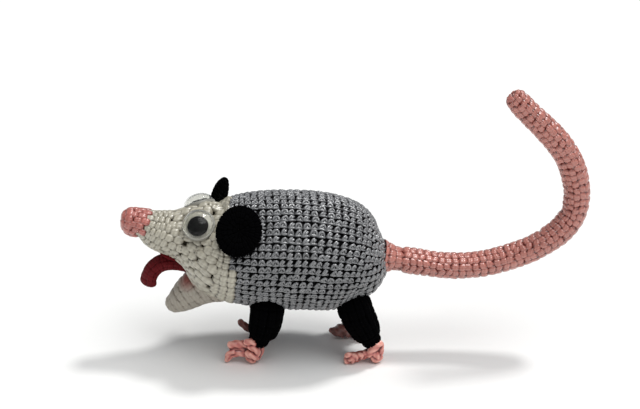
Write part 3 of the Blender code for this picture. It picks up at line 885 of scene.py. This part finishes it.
# The same roving in the far feet, which the body keeps in its own shade: all its colours darkened as painted
# shade.
FAR_FOOT_YARN = satin_yarn("satin roving, pink, in painted shade", "#78463f", "#401311", "#935d54")


def plastic(name, colour, roughness, ior, clear=0.0):
    values = {"Base Color": linear(colour), "Roughness": roughness, "IOR": ior, "Transmission Weight": clear}
    return shaded(name, values)


def clear_plastic(name):
    """A thin clear wall that lets the lamps through to what it covers."""
    material, tree, shader = plastic(name, "#e6e6e2", 0.05, 1.22, clear=1.0)
    for_lamps = add(tree, "ShaderNodeLightPath").outputs["Is Shadow Ray"]
    open_way = add(tree, "ShaderNodeBsdfTransparent").outputs[0]
    both = add(tree, "ShaderNodeMixShader", {0: for_lamps, 1: shader.outputs[0], 2: open_way})
    tree.links.new(both.outputs[0], tree.nodes["Material Output"].inputs["Surface"])
    return material


# Moulded polystyrene: the milky white ring that shows round each pupil.
WHITE_PLASTIC, _, _ = plastic("moulded polystyrene, white", "#8d8b82", 0.4, 1.59)
# Vacuum-formed film: one hard bright light at the top, and a thin bright rim.
CLEAR_PLASTIC = clear_plastic("vacuum-formed clear film")
# Punched sheet: a flat dead black that makes the light on the dome read.
BLACK_PLASTIC, _, _ = plastic("punched black plastic sheet", "#060607", 0.6, 1.15)


def settle(piece, slot, *nodes):
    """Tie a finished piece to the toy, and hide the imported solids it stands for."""
    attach(piece, "root")
    if nodes:
        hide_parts(*nodes)


def gathered(name, *kinds):
    """The kinds of one stitch, gathered so that each place in a row can take one of them."""
    kept = bpy.data.collections.new(name)
    for kind in kinds:
        kept.objects.link(kind)
    return kept


BACK = gathered("stitches of the back", arch_stitch(), hook_stitch(), slant_stitch())
BLOCK = gathered("stitches of the legs", block_stitch())
PILLOW = gathered("stitches of the head", pillow_stitch())

# How far the cloth starts inside its full form, and the most that the stuffing may push it, in mm.
SLACK = 0.7
MOST_PUSH = 1.1
# The cloth is blown up at many times life size, where Blender's cloth behaves, for so many frames.
CLOTH_SCALE = 20.0
CLOTH_PRESSURE = 4.0
CLOTH_FRAMES = 20
CLOTH_QUALITY = 4
# How stiff each skin is against stretching, so that each fills to about its full form, and what share
# of that it has against shear.
GIVE = {"body": 0.55, "jaw": 0.08, "tongue": 6.0, "tail": 0.06, "leg": 0.02, "ear": 12.0}
SHEAR_SHARE = 0.3

# Each skin's spacing along it in mm, and how many points it has round.
SKIN_STEPS = {"body": 1.6, "jaw": 1.2, "tongue": 0.8, "tail": 1.4, "leg": 1.2}
SKIN_SIDES = {"body": 96, "jaw": 56, "tongue": 40, "tail": 48, "leg": 40, "ear": 56}

# Where each skin is sewn down, as places and how far each reaches, in mm.
SEWN = {
    "body": [((30.0, 0.0, 41.2), 6.0), ((-45.0, 0.0, 37.0), 4.0)],
    "jaw": [((-30.0, 0.0, 35.0), 12.0), ((-46.0, 0.0, 36.0), 4.0)],
    "tongue": [((-48.0, 0.0, 37.0), 4.0)],
    "tail": [((29.0, 0.0, 41.5), 9.0), ((80.0, 0.0, 104.4), 3.0)],
}
# How far the body is held about an ear and a leg, the ear about its middle, and the leg at its two ends.
EAR_REACH, LEG_REACH = 6.0, 8.0
EAR_MIDDLE_REACH = 2.5
HIP_REACH, ANKLE_REACH = 9.0, 5.0


def coordinates(mesh, name="co"):
    values = np.empty(len(mesh.vertices) * 3)
    mesh.vertices.foreach_get(name, values)
    return values.reshape(-1, 3)


def moved_to(mesh, points):
    mesh.vertices.foreach_set("co", points.ravel())
    mesh.update()


def held_down(points, places):
    """Which points of a skin lie near any of the places where something is sewn on."""
    held = np.zeros(len(points), dtype=bool)
    for place, reach in places:
        held |= np.linalg.norm(points - world(place), axis=1) < reach * MM
    return [int(k) for k in np.flatnonzero(held)]


def stuff(skins, sewn):
    """Blow the skins up together from slightly smaller forms, as stuffing fills them between the places
    where they are sewn down."""
    starts = {}
    for name, base in skins.items():
        rest, normals = coordinates(base.data), coordinates(base.data, "normal")
        starts[name] = rest - normals * SLACK * MM
        moved_to(base.data, starts[name] * CLOTH_SCALE)
        held = base.vertex_groups.new(name="sewn")
        held.add(held_down(rest, sewn[name]), 1.0, "REPLACE")
        cloth = base.modifiers.new("stuffing", "CLOTH")
        settings = cloth.settings
        settings.quality = CLOTH_QUALITY
        give = GIVE[name.split("_")[0]]
        settings.tension_stiffness = settings.compression_stiffness = give
        settings.shear_stiffness = SHEAR_SHARE * give
        settings.vertex_group_mass = "sewn"
        settings.use_pressure = True
        settings.uniform_pressure_force = CLOTH_PRESSURE
        settings.effector_weights.gravity = 0.0
        cloth.collision_settings.use_collision = False
        cloth.point_cache.frame_start = 1
        cloth.point_cache.frame_end = CLOTH_FRAMES
    for step in range(1, CLOTH_FRAMES + 1):
        bpy.context.scene.frame_set(step)
    graph = bpy.context.evaluated_depsgraph_get()
    for name, base in skins.items():
        filled = coordinates(base.evaluated_get(graph).data) / CLOTH_SCALE
        push = filled - starts[name]
        length = np.linalg.norm(push, axis=1)
        push *= np.minimum(1.0, MOST_PUSH * MM / np.maximum(length, 1e-9))[:, None]
        base.modifiers.clear()
        moved_to(base.data, starts[name] + push)
    bpy.context.scene.frame_set(1)


def ear_outline(height):
    """The section of an ear, from the middle of its back, round the rim, to the middle of its face."""
    half, flat = EAR_HALF_THICKNESS, height - EAR_HALF_THICKNESS
    turns = np.linspace(0.0, math.pi, 13)
    outline = [(0.05 * flat, half)] + [(flat * k / 8, half) for k in range(1, 8)]
    outline += [(flat + half * math.sin(a), half * math.cos(a)) for a in turns]
    outline += [(flat * k / 8, -half) for k in range(7, 0, -1)] + [(0.05 * flat, -half)]
    return evenly(np.array([(r, level - EAR_CUP * r * r) for r, level in outline]), 44)[::-1]


def tail_stations():
    path = evenly(through([(x, 0.0, z) for x, z in TAIL]), 130)
    radii = np.interp(np.linspace(0.0, 1.0, len(path)), np.linspace(0.0, 1.0, len(TAIL_RADII)), TAIL_RADII)
    radii += np.interp(lengths_along(path), [TAIL_FLARE_STEP * k for k in range(4)], [*TAIL_FLARE, 0.0])
    rows = np.column_stack([path, radii])
    rows = np.vstack([rows, ball_end(rows[-1], rows[-2])])
    return evenly(rows, round(lengths_along(rows)[-1] / SKIN_STEPS["tail"]) + 1)


STATIONS = {
    "body": profile(flat_line(BODY), SKIN_STEPS["body"], ball_start=True),
    "jaw": profile(flat_line(JAW), SKIN_STEPS["jaw"], ball_finish=True),
    "tongue": profile(flat_line(TONGUE), SKIN_STEPS["tongue"], ball_finish=True),
    "tail": tail_stations(),
}
for name, (places, _) in LEGS.items():
    rows = [(*place, radius) for place, radius in zip(places, LEG_RADII)]
    STATIONS["leg_" + name] = profile(rows, SKIN_STEPS["leg"], ball_finish=True)


def swollen(rings, swells):
    """Rings pushed out from their own middles about each of the places."""
    outward = rings - rings.mean(axis=1, keepdims=True)
    outward /= np.linalg.norm(outward, axis=2, keepdims=True)
    for place, height, reach in swells:
        away = np.linalg.norm(rings - np.array(place), axis=2)
        rings = rings + outward * (height * np.exp(-((away / reach) ** 2) / 2.0))[:, :, None]
    return rings


def make_skins():
    wide = {"jaw": {"width": JAW_WIDTH}, "tongue": {"width": TONGUE_WIDTH, "roll": TONGUE_ROLL}}
    rings = {}
    for name, stations in STATIONS.items():
        rings[name] = rings_of(stations, SKIN_SIDES[name.split("_")[0]], **wide.get(name, {}))
    rings["body"] = swollen(rings["body"], BROW)
    sewn = {name: list(places) for name, places in SEWN.items()}
    sewn["body"] += [(place, EYE_RADIUS) for place, _, _ in EYES.values()]
    for name, (places, _) in LEGS.items():
        sewn["body"].append((places[0], LEG_REACH))
        sewn["leg_" + name] = [(places[0], HIP_REACH), (places[-1], ANKLE_REACH)]
    for side, (place, normal, (width, height)) in EARS.items():
        outline, sides = ear_outline(height), SKIN_SIDES["ear"]
        rings["ear_" + side] = turned_rings(outline, place, normal, sides, width / height, 90.0)
        sewn["body"].append((place, EAR_REACH))
        sewn["ear_" + side] = [(place, EAR_MIDDLE_REACH)]
    skins = {name: skin(name + "_skin", points) for name, points in rings.items()}
    stuff(skins, sewn)
    return skins


SKINS = make_skins()


def share_at(name, x):
    """How far along a skin a place in X is, from 0 to 1."""
    places = STATIONS[name][:, 0]
    shares = np.linspace(0.0, 1.0, len(places))
    if places[0] > places[-1]:
        places, shares = places[::-1], shares[::-1]
    return float(np.interp(x, places, shares))


def stuffed_core(skin_name, name, colour, slot, nodes, depth=STUFFING_DEPTH, seams=()):
    core = stuffing(SKINS[skin_name], name + "_stuffed", colour, depth, seams)
    settle(core, slot, *nodes)


# How the stitches of the head lie: a little flattened, and not quite even.
PLUMP = {"Relief": 0.68, "Unevenness": 0.24, "Tilt": 0.06, "Wander": 0.0009}


def make_body():
    base = SKINS["body"]

    def at(x):
        return share_at("body", x)

    nose_plane = seam_plane(NOSE_SEAM, -1)
    muzzle_plane = seam_plane(NOSE_SEAM, 1)
    head_plane = seam_plane(NECK_SEAM, -1)
    torso_plane = seam_plane(NECK_SEAM, 1)

    # The head's last rows and the torso's first share one layout, so that they interlock at the seam.
    front, rump, per_row = at(-38.6), at(17.5), 21
    shared = band(50, per_row, front, rump, 0, **{"Seam Jag": 0.0006})
    torso_bands = [
        shared,
        band(40, 2, rump, at(22.0), 71),
        band(28, 2, at(22.0), at(26.2), 72),
        band(16, 2, at(26.2), at(30.2), 73),
    ]
    torso = worked(
        "torso_stitches", base, BACK, GREY_YARN, torso_bands, torso_plane,
        Unevenness=0.25, Tilt=0.12, Wander=0.0012,
    )
    settle(torso, "grey_yarn")

    back_of_head = [
        {**shared, "Per Row": 5, "End": front + (rump - front) * 5 / per_row, "Lift": 0.0003},
        band(36, 2, at(-45.0), front, 82, Lift=0.0009, Stagger=0.5),
        band(26, 2, at(-51.2), at(-45.0), 83, Lift=0.0004, Stagger=0.5),
        band(20, 2, at(-57.6), at(-51.2), 84, Stagger=0.5),
    ]
    head = worked("head_stitches", base, PILLOW, CREAM_YARN, back_of_head, seam=head_plane, **PLUMP)
    settle(head, "cream_yarn")

    tip, neck = at(-71.2), at(-57.6)
    muzzle_band = band(16, 6, tip, neck, 85, Stagger=0.5)
    muzzle = worked("muzzle_stitches", base, PILLOW, CREAM_YARN, [muzzle_band], seam=muzzle_plane, **PLUMP)
    settle(muzzle, "cream_yarn")
    nose_bands = [
        muzzle_band,
        band(11, 1, at(-74.2), tip, 92),
        band(6, 1, 0.006, at(-74.2), 93, Turn=0.05),
    ]
    nose = worked("nose_stitches", base, PILLOW, NOSE_YARN, nose_bands, nose_plane, Relief=0.55, Lift=0.0005)
    settle(nose, "pink_yarn")

    stuffed_core("body", "torso", GREY_SHADE, "grey_yarn", ["torso"], depth=1.0, seams=(torso_plane,))
    stuffed_core("body", "head", CREAM_SHADE, "cream_yarn", ["head"], seams=(muzzle_plane, head_plane))
    stuffed_core("body", "nose", PINK_SHADE, "pink_yarn", ["nose"], seams=(nose_plane,))


def make_jaw():
    def at(x):
        return share_at("jaw", x)

    bands = [
        band(20, 3, at(-33.0), at(-42.5), 101),
        band(17, 2, at(-42.5), at(-47.6), 102),
        band(13, 2, at(-47.6), at(-52.0), 103),
        band(9, 2, at(-52.0), at(-57.0), 104),
        band(5, 1, at(-57.0), 0.99, 105),
    ]
    stitches = worked("jaw_stitches", SKINS["jaw"], PILLOW, JAW_YARN, bands, Relief=0.36, Unevenness=0.24)
    settle(stitches, "cream_yarn")
    stuffed_core("jaw", "jaw", JAW_SHADE, "cream_yarn", ["lower_jaw"], depth=0.8)


def make_tongue():
    bands = [band(8, 12, 0.02, 0.97, 111)]
    stitches = worked("tongue_stitches", SKINS["tongue"], BLOCK, RED_YARN, bands, Relief=0.24)
    settle(stitches, "red_yarn")
    stuffed_core("tongue", "tongue", RED_SHADE, "red_yarn", ["tongue"], depth=0.55)


def make_tail():
    rows = STATIONS["tail"]
    tip = 1.0 - rows[-20, 3] / lengths_along(rows)[-1]
    half = tip + 0.6 * (1.0 - tip)
    bands = [
        band(12, 50, 0.0, tip, 121, Stagger=0.22),
        band(8, 1, tip, half, 122),
        band(4, 1, half, 0.998, 123),
    ]
    stitches = worked(
        "tail_stitches", SKINS["tail"], PILLOW, PINK_YARN, bands, Relief=0.8, Unevenness=0.28, Tilt=0.1
    )
    settle(stitches, "pink_yarn")
    radii = KNOT_RADIUS * MM * np.sin(np.linspace(0.6, 2.6, 8))
    knot = strands_object("tail_end_knot", [strand(world(evenly(through(TIP_KNOT), 8)), radii, 10)])
    knot.data.materials.append(NOSE_YARN)
    settle(knot, "pink_yarn")
    lengths = ["tail_root", "tail_lower", "tail_bend", "tail_tip"]
    stuffed_core("tail", "tail", PINK_SHADE, "pink_yarn", lengths, depth=0.9)


def make_legs():
    for order, name in enumerate(LEGS):
        part = "leg_" + name
        bands = [
            band(12, 6, 0.16, 0.78, 131 + order),
            band(9, 2, 0.78, 0.95, 141 + order),
        ]
        stitches = worked(part + "_stitches", SKINS[part], BLOCK, BLACK_YARN, bands, Relief=0.9, Lift=0.0005)
        settle(stitches, "black_yarn")
        stuffed_core(part, part, BLACK_SHADE, "black_yarn", [part])


# The rounds of an ear, from its middle out: stitches in the round, and where it starts and ends.
EAR_ROUNDS = [(6, 0.03, 0.25), (12, 0.25, 0.5), (19, 0.5, 0.75), (24, 0.75, 1.0)]


def make_ears():
    for order, (side, (place, normal, (width, height))) in enumerate(EARS.items()):
        part = "ear_" + side
        flat = height - EAR_HALF_THICKNESS
        face = flat / lengths_along(ear_outline(height))[-1]
        bands = [band(26, 1, face, 1.0 - face, 211 + order)]
        for count, inner, outer in EAR_ROUNDS:
            low, high = inner * face, outer * face
            bands.append(band(count, 1, low, high, 151 + count + order))
            bands.append(band(count, 1, 1.0 - high, 1.0 - low, 181 + count + order))
        stitches = worked(part + "_stitches", SKINS[part], BLOCK, BLACK_YARN, bands, Relief=0.7, Lift=0.0004)
        settle(stitches, "black_yarn")
        stuffed_core(part, part, BLACK_SHADE, "black_yarn", [part], depth=0.8)


def turned_piece(name, outline, place, normal, material, sides=96):
    """A hard piece turned about its normal from an outline of radius and level, with closed poles."""
    bm = bmesh.new()
    rings = []
    for (radius, _), ring in zip(outline, world(turned_rings(outline, place, normal, sides))):
        rings.append([bm.verts.new(point) for point in (ring if radius else ring[:1])])
    for a, b in zip(rings, rings[1:]):
        for k in range(sides):
            n = (k + 1) % sides
            if len(a) == 1:
                bm.faces.new((a[0], b[n], b[k]))
            elif len(b) == 1:
                bm.faces.new((a[k], a[n], b[0]))
            else:
                bm.faces.new((a[k], a[n], b[n], b[k]))
    return finished(name, bm, material)


def make_eyes():
    for side, (place, normal, slide) in EYES.items():
        out = Vector(normal).normalized()
        seat = np.array(place) - np.array(out) * EYE_SEAT
        rim = EYE_RADIUS + EYE_FLANGE - EYE_EDGE
        corner = [(EYE_EDGE * math.sin(a), EYE_EDGE * math.cos(a)) for a in np.radians([0, 20, 45, 70, 90])]
        back = [(0.0, EYE_BASE)] + [(EYE_RADIUS - inset, EYE_BASE - depth) for inset, depth in EYE_GROOVE]
        back += [(rim + x, EYE_BASE - EYE_EDGE + y) for x, y in corner]
        back += [(rim + x, EYE_EDGE - y) for x, y in corner[::-1]]
        back += [(0.0, 0.0)]
        base = turned_piece(f"eye_{side}_back", back, seat, out, WHITE_PLASTIC)
        settle(base, "white_plastic", "eye_base_" + side)

        on_base = np.array(place) + np.array(out) * (EYE_BASE - EYE_SEAT + EYE_GAP)
        quarter = np.linspace(0.0, math.pi / 2, 33)
        inner_radius, inner_height = EYE_RADIUS - DOME_WALL, DOME_HEIGHT - DOME_WALL
        shell = [(EYE_RADIUS * math.cos(a), DOME_HEIGHT * math.sin(a)) for a in quarter[::-1]]
        shell += [(EYE_RADIUS - DOME_LIP, -DOME_LIP), (inner_radius + DOME_LIP, -DOME_LIP)]
        shell += [(inner_radius * math.cos(a), inner_height * math.sin(a)) for a in quarter]
        shell[0], shell[-1] = (0.0, DOME_HEIGHT), (0.0, inner_height)
        dome = turned_piece(f"eye_{side}_dome", shell, on_base, out, CLEAR_PLASTIC, sides=160)
        settle(dome, "clear_plastic", "eye_dome_" + side)

        flat = PUPIL_RADIUS - PUPIL_EDGE
        disc = [(0.0, PUPIL_THICKNESS), (flat, PUPIL_THICKNESS)]
        disc += [(PUPIL_RADIUS, PUPIL_THICKNESS - PUPIL_EDGE), (PUPIL_RADIUS, PUPIL_EDGE)]
        disc += [(flat, 0.0), (0.0, 0.0)]
        on_back = on_base + np.array(downhill(out)) * slide
        pupil = turned_piece(f"eye_{side}_pupil", disc, on_back, out, BLACK_PLASTIC)
        settle(pupil, "black_plastic", "eye_pupil_" + side)


# The thick yarn of each foot, as strands of points from the middle of its ball, with their radii.
# A near foot follows the photo, and a far one has the same parts.
FOOT_STRANDS = {
    "front_left": [
        [(-1.7, 0.2, 2.1, 1.7), (-4.9, 0.0, 2.5, 1.6), (-8.1, 0.0, 2.5, 1.6), (-10.2, 0.0, 2.2, 1.5)],
        [(-2.4, 0.6, -0.1, 1.6), (-5.7, 0.4, 0.4, 1.3), (-8.1, 0.2, 0.9, 1.2), (-10.1, 0.4, 1.0, 1.1)],
        [(-3.6, 0.2, -1.7, 1.7), (-7.3, 0.0, -1.5, 1.6), (-10.0, 0.0, -2.5, 1.4), (-11.8, 0.0, -5.5, 0.8)],
        [(-9.3, -0.8, -0.7, 1.1), (-11.1, -0.8, -1.6, 1.1), (-11.9, -0.4, -4.6, 0.8)],
        [(-3.9, -2.0, 4.4, 1.3), (-2.2, -2.6, 5.0, 1.5), (-0.2, -2.2, 4.1, 1.5), (1.1, -1.4, 2.3, 1.3)],
        [(0.3, -0.4, 2.9, 1.3), (1.8, -0.4, 1.1, 1.3), (1.8, -0.4, -1.2, 1.3), (0.6, -0.4, -3.5, 1.2)],
        [(-2.5, -2.6, 2.6, 1.2), (-0.9, -3.0, 2.1, 1.4), (0.5, -2.4, 0.4, 1.3), (0.5, -1.8, -1.3, 1.2)],
        [(-3.5, -2.2, -0.5, 1.2), (-2.3, -2.6, -1.1, 1.4), (-0.7, -2.2, -2.0, 1.4), (0.2, -1.4, -3.1, 1.2)],
        [(-3.7, -1.2, -2.1, 1.1), (-2.5, -1.2, -3.9, 1.2), (-1.1, -1.0, -4.7, 1.1)],
        [(-1.3, 0.2, 1.9, 2.7), (-1.0, 0.2, -1.3, 2.9), (-1.2, 0.2, -3.6, 2.2)],
        [(-0.8, 3.0, 0.3, 2.4), (-0.8, 3.0, -2.9, 2.5), (-1.1, 2.8, -4.6, 2.0)],
    ],
    "rear_left": [
        [(2.1, -1.8, 3.7, 1.3), (0.5, -2.4, 3.2, 1.7), (-1.2, -2.4, 1.3, 1.8), (-2.0, -1.8, -1.3, 1.3)],
        [(2.6, -0.6, 2.8, 1.2), (2.7, -1.0, 0.6, 1.3), (2.3, -1.0, -1.8, 1.2)],
        [(-0.6, -1.4, -2.7, 1.2), (0.9, -1.4, -4.0, 1.3), (2.6, -1.0, -2.9, 1.2)],
        [(-0.1, -2.4, 0.0, 1.3), (1.0, -2.2, -1.5, 1.3), (1.8, -1.6, -2.8, 1.1)],
        [(1.0, 0.2, 1.0, 2.7), (0.7, 0.2, -1.3, 2.9), (0.8, 0.2, -3.3, 2.2)],
        [(1.2, 2.8, -0.4, 2.2), (1.1, 2.8, -3.2, 2.3)],
        [(-2.3, -0.6, -0.6, 1.4), (-5.3, -1.0, -1.6, 1.5), (-8.6, -1.2, -2.5, 1.9), (-10.3, -1.0, -2.9, 1.9)],
        [(-2.5, 0.0, -2.5, 1.4), (-5.8, -0.2, -3.5, 1.3), (-8.6, -0.4, -5.3, 1.6), (-10.1, -0.4, -5.6, 1.6)],
        [(-11.3, -2.4, -1.4, 1.0), (-10.5, -2.4, -0.9, 1.1), (-9.5, -2.2, -0.9, 0.9)],
        [(-8.6, -2.4, -1.1, 0.9), (-7.7, -2.6, -1.7, 1.0), (-7.2, -2.2, -3.1, 0.8)],
        [(-9.9, -2.4, -3.2, 1.0), (-8.9, -2.6, -2.6, 1.1), (-8.7, -2.2, -4.2, 0.9)],
        [(-11.5, -1.8, -3.7, 0.9), (-11.1, -1.8, -5.1, 1.1), (-10.0, -1.6, -6.0, 0.9)],
        [(-6.1, -2.0, -0.9, 0.8), (-5.2, -2.2, -1.4, 0.9), (-5.2, -1.6, -3.0, 0.7)],
        [(-4.0, -1.6, -0.2, 0.8), (-3.3, -1.8, -0.9, 0.9), (-3.4, -1.2, -2.4, 0.7)],
    ],
    "front_right": [
        [(-0.9, -0.2, -3.1, 1.8), (-4.3, 0.0, -2.0, 1.6), (-6.6, 0.0, -0.3, 1.5), (-7.8, 0.0, 1.0, 1.4)],
        [(1.0, 1.6, -0.8, 1.7), (2.4, 3.2, -2.0, 1.7), (3.0, 4.4, -3.2, 1.5)],
        [(-2.6, -1.6, 2.6, 1.5), (0.4, -3.2, 1.8, 1.8), (3.0, -2.4, -0.6, 1.9), (2.6, -0.6, -3.2, 1.6)],
        [(-3.0, -1.8, 0.2, 1.4), (-1.0, -3.2, -1.4, 1.7), (1.4, -2.8, -3.2, 1.6)],
        [(0.8, 1.0, 3.0, 1.8), (3.4, 1.4, 1.0, 1.9), (3.0, 1.6, -2.4, 1.8)],
        [(-2.0, 1.6, 1.8, 1.7), (-2.6, 2.2, -0.8, 1.8), (-0.4, 2.4, -3.2, 1.7)],
    ],
    "rear_right": [
        [
            (-11.0, -0.2, -2.3, 1.2), (-8.9, -0.4, -2.5, 2.4), (-6.5, -0.6, -2.7, 3.1),
            (-3.5, -0.4, -3.0, 2.9), (-1.0, -0.2, -2.9, 2.4),
        ],
        [(1.4, 0.6, -0.8, 1.8), (3.0, 1.0, -2.2, 1.8), (4.0, 1.2, -3.0, 1.6)],
        [(1.6, -1.2, 4.0, 1.7), (1.6, -2.8, 1.4, 2.0), (0.4, -2.6, -2.4, 1.8)],
        [(3.0, 0.8, 3.4, 1.8), (3.6, 0.6, 0.4, 1.9), (2.2, 0.6, -3.0, 1.8)],
        [(-1.6, 2.0, 2.0, 1.7), (-2.0, 2.4, -0.4, 1.9), (-0.8, 2.0, -3.0, 1.7)],
    ],
}
# How a strand of a foot is drawn: points along it and round its ends, sides, and its plies with their lay.
FOOT_POINTS = 14
FOOT_END_STEPS = 5
FOOT_SIDES = 18
FOOT_PLIES = 3
FOOT_PLY_DEPTH = 0.09
FOOT_LAY = 3.4
# How many of its radii the middle of a strand stays over the floor.
FOOT_CLEARANCE = 1.1
# How finely the strands are grown together, in mm, and how often they are smoothed.
FOOT_VOXEL = 0.26
FOOT_ROUNDS = 2


def mark_hollows(mesh, rounds=14, full=0.22):
    """How far each point lies below the smoothed surface about it, from 0 to 1 at so many mm."""
    points, normals = coordinates(mesh), coordinates(mesh, "normal")
    edges = np.empty(2 * len(mesh.edges), dtype=np.int32)
    mesh.edges.foreach_get("vertices", edges)
    a, b = edges[0::2], edges[1::2]
    count = np.bincount(edges, minlength=len(points))[:, None]
    smooth = points.copy()
    for _ in range(rounds):
        total = np.zeros_like(smooth)
        np.add.at(total, a, smooth[b])
        np.add.at(total, b, smooth[a])
        smooth = total / count
    below = np.einsum("ij,ij->i", smooth - points, normals) / (full * MM)
    hollow = mesh.attributes.new("hollow", "FLOAT", "POINT")
    hollow.data.foreach_set("value", np.clip(below, -1.0, 1.0).astype(np.float32))


def make_feet():
    """Each foot: a palm and toes of thick soft yarn, pressed together so that only folds part them."""
    for name, lines in FOOT_STRANDS.items():
        ball = np.array(LEGS[name][1])
        strands = []
        for line in lines:
            line = np.array(line)
            line[:, :3] += ball
            rows = evenly(through(line), FOOT_POINTS)
            first = ball_end(rows[0], rows[1], FOOT_END_STEPS)[::-1]
            rows = np.vstack([first, rows, ball_end(rows[-1], rows[-2], FOOT_END_STEPS)])
            rows[:, 2] = np.maximum(rows[:, 2], FOOT_CLEARANCE * rows[:, 3] - SHIFT[2])
            strands.append(
                strand(rows[:, :3], rows[:, 3], FOOT_SIDES, FOOT_PLIES, FOOT_PLY_DEPTH, FOOT_LAY)
            )
        strands = [(world(points), faces, corners) for points, faces, corners in strands]
        foot = strands_object(f"foot_{name}_yarn", strands)
        evened(foot, FOOT_VOXEL, FOOT_ROUNDS, FOOT_YARN if name.endswith("left") else FAR_FOOT_YARN)
        mark_hollows(foot.data)
        settle(foot, "pink_yarn", "foot_" + name)


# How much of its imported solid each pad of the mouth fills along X, Y and Z, and how far it is moved,
# in mm.
PAD_FIT = {
    "palate": ((0.96, 0.86, 0.8), (0.6, 0.0, 1.0)),
    "jaw_lining": ((0.84, 0.62, 0.80), (1.9, 0.0, -0.5)),
}
PAD_VOXEL = 0.4
PAD_ROUNDS = 6


def make_linings():
    """The red pads of the mouth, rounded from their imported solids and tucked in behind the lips."""
    for name, (share, move) in PAD_FIT.items():
        bm = bmesh.new()
        bm.from_mesh(frame["nodes"][name].data)
        bmesh.ops.remove_doubles(bm, verts=bm.verts, dist=1e-6)
        low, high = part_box(name)
        middle = (Vector(low) + Vector(high)) * 0.5
        for vert in bm.verts:
            away = vert.co - middle
            vert.co = middle + Vector(away * part for away, part in zip(away, share)) + Vector(move) * MM
        mesh = bpy.data.meshes.new(name)
        bm.to_mesh(mesh)
        bm.free()
        pad = in_scene(name + "_pad", mesh)
        evened(pad, PAD_VOXEL, PAD_ROUNDS, RED_FELT)
        settle(pad, "red_yarn", name)


make_body()
make_jaw()
make_tongue()
make_tail()
make_legs()
make_ears()
make_eyes()
make_feet()
make_linings()
for base in SKINS.values():
    bpy.data.objects.remove(base, do_unlink=True)

# The photo's camera: how it looks at the toy, in degrees and mm, and how many pixels a mm takes there.
YAW, ELEVATION, ROLL = 5.0, 22.0, 2.2
DISTANCE = 460.0
PIXELS_PER_MM = 2.5
PICTURE = (640, 409)
AIM = (0.0, 0.0, 44.5)
AIM_PIXEL = (313.0, 250.0)
SENSOR = 36.0


def make_camera():
    yaw, tilt, roll = (math.radians(angle) for angle in (YAW, ELEVATION, ROLL))
    ahead = Vector((math.sin(yaw) * math.cos(tilt), math.cos(yaw) * math.cos(tilt), -math.sin(tilt)))
    level = Vector((math.cos(yaw), -math.sin(yaw), 0.0))
    upright = level.cross(ahead)
    right = level * math.cos(roll) + upright * math.sin(roll)
    up = upright * math.cos(roll) - level * math.sin(roll)
    off_x, off_y = ((size / 2 - pixel) / PIXELS_PER_MM for size, pixel in zip(PICTURE, AIM_PIXEL))
    middle = Vector(AIM) + right * off_x - up * off_y
    data = bpy.data.cameras.new("camera")
    data.sensor_width = SENSOR
    data.lens = SENSOR * PIXELS_PER_MM * DISTANCE / PICTURE[0]
    data.clip_start = 0.01
    camera = in_scene("camera", data)
    turn = Matrix((right, up, -ahead)).transposed().to_4x4()
    camera.matrix_world = Matrix.Translation(world(middle - ahead * DISTANCE)) @ turn
    bpy.context.scene.camera = camera


# Each lamp as its strength, how wide it spreads in degrees, and the way it shines.
LAMPS = {"key": (1.5, 46.0, (-0.28, 0.30, -1.0)), "spark": (1.5, 9.0, (-0.34, -0.22, -1.0))}
SKY_STRENGTH = 0.36


def make_studio():
    bpy.ops.mesh.primitive_plane_add(size=8.0, location=(0.0, 0.0, 0.0))
    floor = bpy.context.object
    floor.name = "floor"
    # A sheet of paper: no light of its own, only a soft shadow under the toy.
    paper, _, _ = shaded("matt white paper", {"Base Color": linear("#f2f2f0"), "Roughness": 0.9})
    floor.data.materials.append(paper)

    sky = bpy.data.worlds.new("studio")
    sky.use_nodes = True
    sky.node_tree.nodes["Background"].inputs["Color"].default_value = linear("#f4f6fa")
    sky.node_tree.nodes["Background"].inputs["Strength"].default_value = SKY_STRENGTH
    bpy.context.scene.world = sky
    bpy.context.scene.view_settings.view_transform = "Standard"
    for name, (strength, spread, way) in LAMPS.items():
        data = bpy.data.lights.new(name, "SUN")
        data.energy = strength
        data.angle = math.radians(spread)
        in_scene(name, data).rotation_euler = Vector(way).to_track_quat("-Z", "Y").to_euler()


make_camera()
make_studio()

for kinds in (BACK, BLOCK, PILLOW):
    for kind in list(kinds.objects):
        bpy.data.objects.remove(kind, do_unlink=True)
    bpy.data.collections.remove(kinds)
